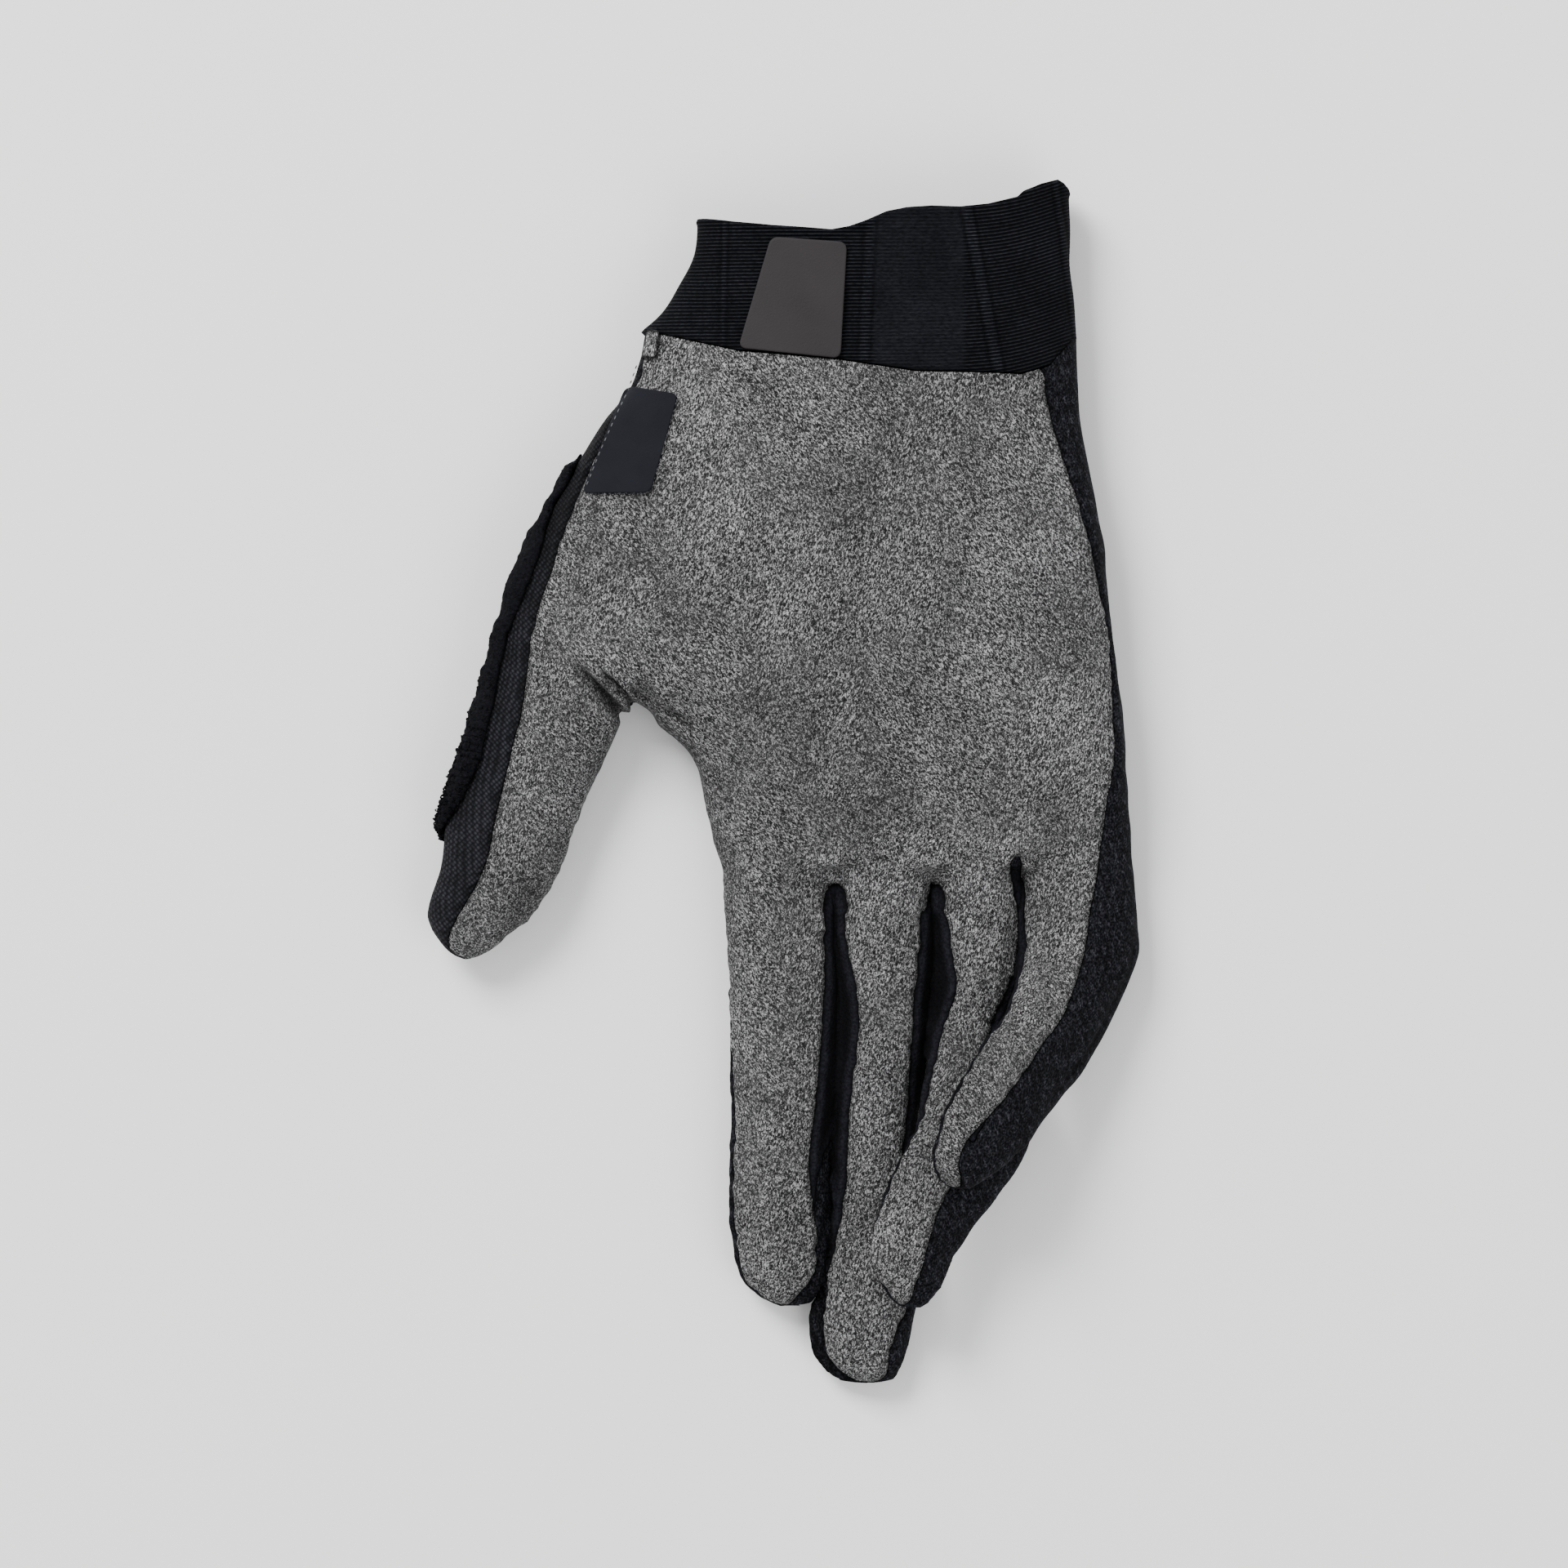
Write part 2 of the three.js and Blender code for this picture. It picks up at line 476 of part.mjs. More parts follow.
// A patch is a thin layer over the piece below it, inside an upright outline.
const upperHalf = boxAbove(palmHeight / 2);
const cuffPatchCorner = new THREE.Vector2(cuffCentre - 0.30 * cuffWidth, 0.895 * cuffHeight);
const cuffPatch = cuffRing(seamGap, seamGap + rubber, 0, 0)
  .intersect(upperHalf)
  .intersect(prism(roundedOutline([
    cuffPatchCorner.clone(),
    cuffPatchCorner.clone().add(new THREE.Vector2(0.80 * cuffPatchWidth, -0.05 * cuffPatchHeight)),
    cuffPatchCorner.clone().add(new THREE.Vector2(0.70 * cuffPatchWidth, -0.99 * cuffPatchHeight)),
    cuffPatchCorner.clone().add(new THREE.Vector2(-0.30 * cuffPatchWidth, -0.93 * cuffPatchHeight)),
  ], patchCorner), 0, reach));
const palmLayer = (thick) => tube(palmCuts(seamGap + thick), palmSides)
  .subtract(tube(palmCuts(seamGap), palmSides));
const palmPatchCorner = plan(-0.728, 0.078);
const palmPatch = palmLayer(rubber)
  .intersect(boxAbove(palmHeight * 0.45))
  .intersect(prism(roundedOutline([
    palmPatchCorner.clone(),
    palmPatchCorner.clone().add(new THREE.Vector2(0.74 * palmPatchWidth, -0.08 * palmPatchHeight)),
    palmPatchCorner.clone().add(new THREE.Vector2(0.34 * palmPatchWidth, -palmPatchHeight)),
    palmPatchCorner.clone().add(new THREE.Vector2(-0.62 * palmPatchWidth, -palmPatchHeight)),
  ], patchCorner), 0, reach));
const sideTabCorner = plan(-0.700, -0.036);
const sideTab = palmLayer(fabric / 2)
  .intersect(boxAbove(palmHeight * 0.3))
  .intersect(prism([
    sideTabCorner.clone(),
    sideTabCorner.clone().add(new THREE.Vector2(sideTabWidth, -0.2 * sideTabWidth)),
    sideTabCorner.clone().add(new THREE.Vector2(sideTabWidth, -sideTabHeight)),
    sideTabCorner.clone().add(new THREE.Vector2(-0.2 * sideTabWidth, -sideTabHeight)),
  ], 0, reach));

// The terry strip wraps the thumb's outer edge from the wrist to the thumb's middle joint.
const terryUnder = 16; // how much wider it is on the back of the thumb than on the palm side
const terryLine = [
  plan(-0.868, 0.200),
  plan(-0.854, 0.222),
  plan(-0.908, 0.301),
  plan(-0.948, 0.396),
  plan(-0.987, 0.483),
  plan(-1.023, 0.555),
  plan(-1.043, 0.634),
  plan(-1.066, 0.729),
  plan(-1.086, 0.792),
  plan(-1.116, 0.848),
  plan(-1.175, 0.927),
  plan(-1.205, 0.948),
];
function terrySide(shift) {
  const line = terryLine.map((point) => new THREE.Vector2(point.x + shift, point.y));
  const farLeft = new THREE.Vector2(-reach, line[0].y);
  return prism([farLeft, new THREE.Vector2(-reach, line.at(-1).y), ...line.toReversed()], -reach, reach);
}
const thumbMiddle = fingerHeight * 0.62;
const terryZone = terrySide(0).add(terrySide(terryUnder).subtract(boxAbove(thumbMiddle)));
const thumbBody = (grow) => tube(palmCuts(grow), palmSides)
  .add(tube(digitCuts(digits.thumb, grow), digitSides));
const thumbWipe = largest(thumbBody(seamGap + terry)
  .subtract(thumbBody(seamGap))
  .intersect(boxAbove(0))
  .intersect(terryZone));

// Surfaces, as colour, roughness and metalness
const surfaces = {
  suede: new THREE.MeshStandardMaterial({ color: 0x6f6f70, roughness: 0.95, metalness: 0 }),
  ripple: new THREE.MeshStandardMaterial({ color: 0x15161a, roughness: 0.8, metalness: 0 }),
  knit: new THREE.MeshStandardMaterial({ color: 0x1b1b20, roughness: 0.9, metalness: 0 }),
  terry: new THREE.MeshStandardMaterial({ color: 0x101014, roughness: 1, metalness: 0 }),
  elastic: new THREE.MeshStandardMaterial({ color: 0x121317, roughness: 0.75, metalness: 0 }),
  rubber: new THREE.MeshStandardMaterial({ color: 0x3a3738, roughness: 0.6, metalness: 0 }),
  darkRubber: new THREE.MeshStandardMaterial({ color: 0x25272c, roughness: 0.6, metalness: 0 }),
};
const pieces = [
  ['palm_panel', palmPanel, surfaces.suede],
  ['back_panel', backPanel, surfaces.ripple],
  ...fourchettes.map(([name, body]) => [name, body, surfaces.knit]),
  ['thumb_back', thumbBack, surfaces.knit],
  ['thumb_wipe', thumbWipe, surfaces.terry],
  ['cuff_band', cuffBand, surfaces.elastic],
  ['cuff_patch', cuffPatch, surfaces.rubber],
  ['palm_patch', palmPatch, surfaces.darkRubber],
  ['side_tab', sideTab, surfaces.suede],
];

const group = new THREE.Group();
for (const [name, body, surface] of pieces) {
  const { vertProperties, triVerts } = body.getMesh();
  const geometry = new THREE.BufferGeometry();
  geometry.setAttribute('position', new THREE.BufferAttribute(vertProperties, 3));
  geometry.setIndex(new THREE.BufferAttribute(triVerts, 1));
  const mesh = new THREE.Mesh(geometry, surface);
  mesh.name = name;
  group.add(mesh);
}

// The origin is the middle of the glove's box, on the surface that it lies on.
const bounds = new THREE.Box3().setFromObject(group);
const centre = bounds.getCenter(new THREE.Vector3());
for (const mesh of group.children) mesh.position.set(-centre.x, -centre.y, -bounds.min.z);

export default group;
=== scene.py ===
import bpy
import numpy as np
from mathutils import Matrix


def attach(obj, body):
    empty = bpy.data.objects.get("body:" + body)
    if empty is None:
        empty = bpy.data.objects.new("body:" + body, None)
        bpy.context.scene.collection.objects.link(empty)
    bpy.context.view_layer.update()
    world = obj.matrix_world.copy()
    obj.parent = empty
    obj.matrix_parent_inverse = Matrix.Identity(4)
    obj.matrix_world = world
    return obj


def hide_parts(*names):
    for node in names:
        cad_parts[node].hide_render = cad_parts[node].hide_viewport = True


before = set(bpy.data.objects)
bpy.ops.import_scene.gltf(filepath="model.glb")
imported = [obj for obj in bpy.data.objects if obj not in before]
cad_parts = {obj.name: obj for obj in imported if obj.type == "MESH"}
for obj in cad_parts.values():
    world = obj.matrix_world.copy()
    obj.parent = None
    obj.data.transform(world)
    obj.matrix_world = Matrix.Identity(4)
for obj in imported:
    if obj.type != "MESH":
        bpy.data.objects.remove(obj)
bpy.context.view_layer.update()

# The view: a camera straight above the glove, with the fingers at the bottom of the picture, over a
# wide pale table under soft studio light.
camera_height = 2.5
glove_middle = 0.010  # the height of the glove's middle
view_width = 0.3072  # what the picture takes in at that height
sensor = 36
camera = bpy.data.objects.new("camera", bpy.data.cameras.new("camera"))
camera.data.sensor_width = sensor
camera.data.lens = sensor * (camera_height - glove_middle) / view_width
camera.data.clip_end = 20
camera.location = (0.00005, -0.00028, camera_height)
bpy.context.scene.collection.objects.link(camera)
bpy.context.scene.camera = camera

table = bpy.data.meshes.new("table")
far = 9  # metres from the glove to the table's edges
table.from_pydata([(-far, -far, 0), (far, -far, 0), (far, far, 0), (-far, far, 0)], [], [(0, 1, 2, 3)])
table_top = bpy.data.objects.new("table_top", table)
bpy.context.scene.collection.objects.link(table_top)
table_paint = bpy.data.materials.new("table paint")
table_paint.use_nodes = True
table_shader = table_paint.node_tree.nodes["Principled BSDF"]
table_shader.inputs["Base Color"].default_value = (0.94, 0.94, 0.94, 1)
table_shader.inputs["Roughness"].default_value = 0.9
table.materials.append(table_paint)

sky = bpy.data.worlds.new("studio")
sky.use_nodes = True
sky.node_tree.nodes["Background"].inputs["Color"].default_value = (1, 1, 1, 1)
sky.node_tree.nodes["Background"].inputs["Strength"].default_value = 0.85
bpy.context.scene.world = sky


def soft_light(name, place, turn, size, power):
    """A square lamp of that size in metres, at a place, turned by angles in degrees."""
    lamp = bpy.data.objects.new(name, bpy.data.lights.new(name, "AREA"))
    lamp.data.shape = "SQUARE"
    lamp.data.size = size
    lamp.data.energy = power
    lamp.location = place
    lamp.rotation_euler = np.radians(turn)
    bpy.context.scene.collection.objects.link(lamp)


soft_light("light above the cuff", (-0.9, 1.2, 1.4), (-40, -24, 0), 0.9, 60)
soft_light("light over the fingers", (1.0, -0.8, 1.4), (30, 34, 0), 1.2, 14)

# The hand form: the space that the sewn panels enclose. It is made of six tubes, the palm and the five
# digits, whose upright sections are worked out row by row, then joined into one skin.
# Lengths are millimetres, x 0 at the middle of the knuckles and y 0 at the cuff seam.
palm_length, palm_width, palm_height, finger_height = 101, 80.8, 24, 15
palm_fullness, digit_fullness = 2.6, 2.0  # 2 is an ellipse, and more is nearer to a box
middle_of_box = np.array([28.61, 84.52, 0])  # from the hand form's zero to the origin of the frame
# Columns: along, left, right, low, high, seam on the left, seam on the right, lean. The first five are
# shares of the tube's length, width and height, the seams are degrees from the section's top, and the
# lean is how far the left edge stands above the right one.
palm_rows = [
    (-0.13, -0.680, 0.350, -0.02, 0.78, -80, 56, 0),
    (0.000, -0.700, 0.355, -0.05, 0.84, -80, 56, 0),
    (0.071, -0.728, 0.359, -0.06, 0.88, -78, 55, 0),
    (0.142, -0.795, 0.363, -0.06, 0.92, -72, 59, 0),
    (0.380, -0.963, 0.423, -0.06, 1.00, -62, 70, 0),
    (0.475, -1.012, 0.433, -0.06, 1.00, -60, 75, 0),
    (0.570, -1.024, 0.447, -0.06, 1.00, -64, 82, 0),
    (0.617, -0.980, 0.454, -0.06, 0.99, -82, 77, 0),
    (0.665, -0.839, 0.462, -0.06, 0.98, -100, 75, 0),
    (0.697, -0.726, 0.468, -0.06, 0.96, -104, 72, 0),
    (0.807, -0.565, 0.474, -0.06, 0.89, -104, 67, 0),
    (0.854, -0.550, 0.478, -0.06, 0.84, -104, 61, 0),
    (0.950, -0.524, 0.490, -0.06, 0.71, -104, 54, 0),
    (1.000, -0.508, 0.496, -0.06, 0.64, -104, 51, 0),
]
thumb_rows = [
    (0.000, -0.50, 0.48, 0.12, 1.20, -36, 95, 0),
    (0.126, -0.64, 0.48, 0.12, 1.26, -37, 96, 0),
    (0.251, -0.72, 0.35, 0.12, 1.24, -32, 100, 0),
    (0.377, -0.84, 0.26, 0.13, 1.19, -25, 100, 0),
    (0.628, -1.06, -0.07, 0.14, 1.11, -15, 100, 0),
    (0.753, -1.11, -0.21, 0.15, 1.06, -15, 100, 0),
    (0.879, -1.21, -0.44, 0.20, 0.95, -23, 100, 0),
    (0.921, -1.17, -0.57, 0.25, 0.88, -34, 100, 0),
    (0.962, -1.08, -0.71, 0.32, 0.78, -60, 100, 0),
    (0.987, -1.01, -0.82, 0.40, 0.68, -75, 100, 0),
    (1.000, -0.94, -0.91, 0.50, 0.57, -80, 100, 0),
]
index_rows = [
    (-0.098, -0.50, 0.57, -0.08, 1.00, -104, 66, 0),
    (0.010, -0.50, 0.50, -0.08, 0.99, -104, 62, 0),
    (0.082, -0.48, 0.52, -0.08, 0.97, -100, 59, 0),
    (0.295, -0.46, 0.54, -0.08, 0.93, -88, 51, 0),
    (0.528, -0.42, 0.52, -0.08, 0.90, -76, 41, 0),
    (0.645, -0.43, 0.48, -0.08, 0.87, -74, 37, 0),
    (0.761, -0.44, 0.46, -0.07, 0.85, -72, 45, 0),
    (0.858, -0.41, 0.44, -0.05, 0.80, -71, 56, 0),
    (0.926, -0.35, 0.42, 0.00, 0.72, -74, 50, 0),
    (0.975, -0.17, 0.29, 0.10, 0.58, -69, 32, 0),
    (1.000, 0.02, 0.11, 0.30, 0.40, -60, 40, 0),
]
middle_rows = [
    (-0.080, -0.61, 0.60, -0.08, 1.00, -66, 70, 0),
    (0.012, -0.47, 0.50, -0.08, 0.99, -61, 62, 0),
    (0.072, -0.47, 0.53, -0.08, 0.97, -62, 55, 0),
    (0.252, -0.42, 0.52, -0.08, 0.92, -40, 42, 0),
    (0.448, -0.47, 0.40, -0.08, 0.81, -48, 50, 0),
    (0.644, -0.54, 0.36, -0.07, 0.72, -47, 44, 0),
    (0.807, -0.60, 0.40, -0.06, 0.71, -76, 66, 0),
    (0.889, -0.64, 0.34, -0.04, 0.69, -79, 44, 0),
    (0.946, -0.58, 0.27, 0.02, 0.62, -78, 36, 0),
    (0.984, -0.37, 0.14, 0.12, 0.50, -75, 44, 0),
    (1.000, -0.17, -0.06, 0.26, 0.35, -70, 50, 0),
]
ring_rows = [
    (-0.067, -0.60, 0.60, -0.08, 1.00, -68, 66, 0),
    (0.000, -0.53, 0.53, -0.08, 1.00, -64, 62, 0),
    (0.100, -0.47, 0.53, -0.08, 0.97, -55, 72, 0),
    (0.175, -0.46, 0.53, -0.05, 0.95, -46, 84, 0),
    (0.268, -0.48, 0.52, 0.00, 0.92, -33, 51, 0.05),
    (0.361, -0.53, 0.51, 0.08, 0.88, -51, 24, 0.15),
    (0.454, -0.59, 0.56, 0.20, 0.92, -66, 23, 0.3),
    (0.546, -0.68, 0.69, 0.36, 1.06, -73, 9, 0.45),
    (0.621, -0.86, 0.69, 0.50, 1.18, -77, 4, 0.55),
    (0.695, -1.07, 0.48, 0.62, 1.28, -77, 5, 0.55),
    (0.770, -1.22, 0.18, 0.72, 1.34, -82, 6, 0.45),
    (0.844, -1.32, -0.14, 0.77, 1.36, -94, 15, 0.3),
    (0.909, -1.29, -0.42, 0.80, 1.33, -94, 25, 0.15),
    (0.959, -1.11, -0.65, 0.86, 1.24, -73, 29, 0.05),
    (1.000, -0.95, -0.85, 1.00, 1.10, -70, 40, 0),
]
little_rows = [
    (-0.087, -0.56, 0.48, -0.08, 1.00, -70, 26, 0),
    (0.000, -0.51, 0.49, -0.08, 1.02, -68, 21, 0),
    (0.087, -0.47, 0.51, -0.08, 1.04, -74, 15, 0),
    (0.186, -0.47, 0.54, -0.08, 1.08, -76, 8, 0.1),
    (0.273, -0.47, 0.55, -0.04, 1.14, -77, 4, 0.25),
    (0.360, -0.53, 0.46, 0.10, 1.24, -78, 3, 0.45),
    (0.459, -0.64, 0.33, 0.34, 1.36, -79, 6, 0.7),
    (0.558, -0.84, 0.19, 0.58, 1.50, -80, 1, 0.9),
    (0.658, -1.02, 0.01, 0.82, 1.64, -80, -1, 0.9),
    (0.757, -1.16, -0.22, 1.04, 1.76, -80, -7, 0.75),
    (0.844, -1.24, -0.41, 1.20, 1.84, -79, -21, 0.5),
    (0.911, -1.26, -0.59, 1.28, 1.84, -78, -21, 0.3),
    (0.960, -1.21, -0.78, 1.36, 1.76, -75, -8, 0.1),
    (1.000, -1.10, -0.98, 1.50, 1.62, -70, 0, 0),
]
digits = {  # rows, length, width, root across the palm, root along the palm
    "thumb": (thumb_rows, 76.5, 26, -0.829, 0.428),
    "index": (index_rows, 82.4, 21.1, -0.369, 1.041),
    "middle": (middle_rows, 97.9, 18.2, -0.118, 1.038),
    "ring": (ring_rows, 86.1, 15.8, 0.110, 1.006),
    "little": (little_rows, 64.5, 22.4, 0.357, 0.989),
}


def run_along(line):
    """How far along a line each of its points is."""
    return np.concatenate([[0], np.cumsum(np.linalg.norm(np.diff(line, axis=0), axis=1))])


def smooth_rows(rows, weights, count):
    """A table's columns at count places, spread evenly along the outline that its rows draw. Between two rows
    a column is a cubic whose slope at a row is the mean of the slopes before and after it."""
    rows = np.array(rows, float)
    run = run_along(rows * weights)
    slope = np.diff(rows, axis=0) / np.diff(run)[:, None]
    tangent = np.vstack([slope[:1], (slope[:-1] + slope[1:]) / 2, slope[-1:]])
    at = np.linspace(0, run[-1], count)
    i = np.clip(np.searchsorted(run, at, side="right") - 1, 0, len(run) - 2)
    span = (run[i + 1] - run[i])[:, None]
    t = (at - run[i])[:, None] / span
    return (
        (1 + 2 * t) * (1 - t) ** 2 * rows[i] + t * (1 - t) ** 2 * span * tangent[i]
        + t * t * (3 - 2 * t) * rows[i + 1] - t * t * (1 - t) * span * tangent[i + 1]
    )


def tube_sections(rows, length, width, middle, start, height, count):
    """One line for each section: y, x and z of its middle, half its width, half its height, its slope, and
    the turns of its two seams."""
    weights = np.array([length, width, width, height, height, 0, 0, 0])
    along, left, right, low, high, seam_left, seam_right, lean = smooth_rows(rows, weights, count).T
    thinnest = 0.2
    half_width = np.maximum((right - left) * width / 2, thinnest)
    half_height = np.maximum((high - low) * height / 2, thinnest)
    y = start - np.maximum.accumulate(along) * length
    x = middle + (left + right) * width / 2
    z = (low + high) * height / 2
    slope = lean * height / (2 * half_width)
    return np.stack([y, x, z, half_width, half_height, slope, seam_left, seam_right], 1)


def signed_power(share, power):
    """A share raised to a power, with its sign kept."""
    return np.sign(share) * np.abs(share) ** power


def on_section(section, turn, fullness):
    """The point of a section at a turn from its top, in degrees. Across it is the sine and upwards the
    cosine, each to the power 2 / fullness, and the section leans by its slope."""
    sine, cosine = np.sin(np.radians(turn)), np.cos(np.radians(turn))
    y, x, z, half_width, half_height, slope = np.moveaxis(section, -1, 0)[:6]
    side = signed_power(sine, 2 / fullness) * half_width
    up = signed_power(cosine, 2 / fullness) * half_height
    return np.stack([x + side, y + 0 * side, z + up - side * slope], -1)


tubes = {"palm": (tube_sections(palm_rows, palm_length, palm_width, 0, 0, palm_height, 200), palm_fullness)}
for digit, (rows, length, width, across, along) in digits.items():
    root = (across * palm_width, -along * palm_length)
    tubes[digit] = (tube_sections(rows, length, width, *root, finger_height, 160), digit_fullness)


def new_piece(name, points, faces):
    """A smooth-shaded object from points in the hand form's millimetres and a list or array of faces."""
    mesh = bpy.data.meshes.new(name)
    faces = faces.tolist() if hasattr(faces, "tolist") else faces
    mesh.from_pydata((points + middle_of_box) * 0.001, [], faces)
    mesh.polygons.foreach_set("use_smooth", np.ones(len(mesh.polygons), bool))
    piece = bpy.data.objects.new(name, mesh)
    bpy.context.scene.collection.objects.link(piece)
    return piece


def grid_faces(rows, columns, round_it):
    """The four-sided faces of a grid of points, closed from its last column to its first if round_it."""
    row, column = np.meshgrid(np.arange(rows - 1), np.arange(columns - (not round_it)), indexing="ij")
    here, after = row * columns + column, row * columns + (column + 1) % columns
    return np.stack([here, after, after + columns, here + columns], -1).reshape(-1, 4)


tube_points, tube_faces, filled = [], [], 0
turns = np.linspace(0, 360, 96, endpoint=False)
for sections, fullness in tubes.values():
    ring = on_section(sections[:, None, :], turns[None, :], fullness)
    rows, columns = ring.shape[:2]
    tube_points.append(ring.reshape(-1, 3))
    tube_faces += (grid_faces(rows, columns, True) + filled).tolist()
    tube_faces.append([filled + i for i in reversed(range(columns))])
    tube_faces.append([filled + (rows - 1) * columns + i for i in range(columns)])
    filled += rows * columns
form = new_piece("hand_form", np.concatenate(tube_points), tube_faces)
join = form.modifiers.new("one skin", "REMESH")
join.mode = "VOXEL"
join.voxel_size = 0.00085
skin_mesh = form.evaluated_get(bpy.context.evaluated_depsgraph_get()).to_mesh()
skin = np.empty(len(skin_mesh.vertices) * 3)
skin_mesh.vertices.foreach_get("co", skin)
skin = skin.reshape(-1, 3) * 1000 - middle_of_box
skin_mesh.calc_loop_triangles()
triangles = np.empty(len(skin_mesh.loop_triangles) * 3, np.int32)
skin_mesh.loop_triangles.foreach_get("vertices", triangles)
triangles = triangles.reshape(-1, 3)
bpy.data.objects.remove(form)


def edges_of(triangles):
    """Every pair of points that an edge joins, once."""
    return np.unique(np.sort(triangles[:, [0, 1, 1, 2, 2, 0]].reshape(-1, 2), axis=1), axis=0)


def relaxed(points, edges, amount, times):
    """Each point moved by a share, amount, towards the mean of the points that it is joined to."""
    joined = np.maximum(np.bincount(edges.ravel(), minlength=len(points)), 1)[:, None]
    for _ in range(times):
        total = np.zeros_like(points)
        for axis in range(3):
            total[:, axis] = np.bincount(edges[:, 0], points[edges[:, 1], axis], len(points))
            total[:, axis] += np.bincount(edges[:, 1], points[edges[:, 0], axis], len(points))
        points = points + amount[:, None] * (total / joined - points)
    return points


far_off = 20.0  # stands for any greater distance


def tube_columns(tube, y, columns):
    """Some columns of a tube's sections, worked out at each y."""
    sections = tubes[tube][0]
    return [np.interp(-y, -sections[:, 0], sections[:, i]) for i in columns]


def beside(points, tube):
    """How far each point is outside a tube, in millimetres, its turn from the tube's top, how long a degree
    is there, and the turns of the tube's two seams at its y. Past the tube's ends it is far outside, but a
    digit is taken to run on for 2 mm past its tip."""
    sections, fullness = tubes[tube]
    x, z, half_width, half_height, slope, left, right = tube_columns(tube, points[:, 1], range(1, 8))
    side = points[:, 0] - x
    across = side / half_width
    up = (points[:, 2] - z + side * slope) / half_height
    share = (np.abs(across) ** fullness + np.abs(up) ** fullness) ** (1 / fullness)
    outside = np.hypot(side, up * half_height) * (1 - 1 / np.maximum(share, 0.01))
    beyond = np.maximum(points[:, 1] - sections[0, 0], sections[-1, 0] - points[:, 1] - 2 * (tube != "palm"))
    outside = np.where(beyond > 0.6, far_off, outside)
    turn = np.degrees(np.arctan2(signed_power(across, fullness / 2), signed_power(up, fullness / 2)))
    reach = np.hypot(half_width * np.cos(np.radians(turn)), half_height * np.sin(np.radians(turn)))
    return outside, turn, reach * np.pi / 180, left, right


def near_tips(points):
    """From 0 to 1, how near a point is to the end of a digit: a Gaussian of its distance, 3 mm wide."""
    tips = [tubes[digit][0][-1, [1, 0, 2]] for digit in digits]
    return np.exp(-(np.min([np.linalg.norm(points - tip, axis=1) for tip in tips], axis=0) / 3) ** 2)


# The webs between digits and the digits' tips are drawn smooth.
near = np.stack([np.abs(beside(skin, tube)[0]) for tube in tubes])
web = np.clip(1 - np.sort(near, axis=0)[1] / 3, 0, 1) * 0.6 + 0.15
web = np.maximum(web, 0.8 * near_tips(skin))
skin = relaxed(skin, edges_of(triangles), web, 8)

# The seams of the hand form. Each is where a distance worked out over the skin passes through zero. The
# first two are lines in the plan, as shares of the palm's width and length.
cuff_seam = np.array([
    (-1.20, -0.040), (-0.690, -0.041), (-0.571, -0.019), (-0.462, 0.000), (-0.219, 0.017),
    (-0.037, 0.039), (0.221, 0.044), (0.290, 0.028), (0.346, -0.028), (0.700, -0.040),
]) * (palm_width, -palm_length)
thumb_seam = np.array([
    (-0.591, -0.30), (-0.591, -0.079), (-0.641, 0.143), (-0.670, 0.428), (-0.690, 0.586),
    (-0.712, 0.689), (-0.712, 2.200),
]) * (palm_width, -palm_length)
# Each gap between fingers: x and y of its top, half its width there and half its width lower down.
crotches = [
    (-18.6, -104.7, 1.60, 2.15), (0.95, -104.6, 1.55, 1.95), (16.8, -99.1, 1.05, 0.85),
]
pixel = 0.16  # the photograph's, in millimetres
picture_middle = (959.7, 958.25)


def from_picture(places):
    """Lengths in the hand form's plan from one place in the photograph, or from a list of them."""
    return (np.array(places) - picture_middle) * (pixel, -pixel) - middle_of_box[:2]


# Where the suede's edge passes from the palm onto a digit: lines in the plan, each blended in over its ends.
little_edge = from_picture([
    (1364, 900), (1363, 940), (1356, 970), (1352, 1000), (1349, 1030), (1345, 1060), (1340, 1090),
    (1334, 1120), (1331, 1150), (1325, 1180), (1316, 1210), (1304, 1240),
])
thumb_edge = from_picture([
    (685, 670), (675, 700), (664, 730), (655, 760), (648, 790), (646, 820), (642, 850), (638, 880),
    (629, 910), (622, 940),
])
palm_end = -101.6  # y where the palm's suede ends between the fingers
# A fourchette's lower edge in degrees, and the shares of a finger where it begins to narrow and runs out.
fourchette_turn, fourchette_taper, fourchette_end = 112, 0.40, 0.77


def below_cuff(points):
    """How far a point lies below the cuff seam."""
    return np.interp(points[:, 0], cuff_seam[:, 0], cuff_seam[:, 1]) - 0.2 - points[:, 1]


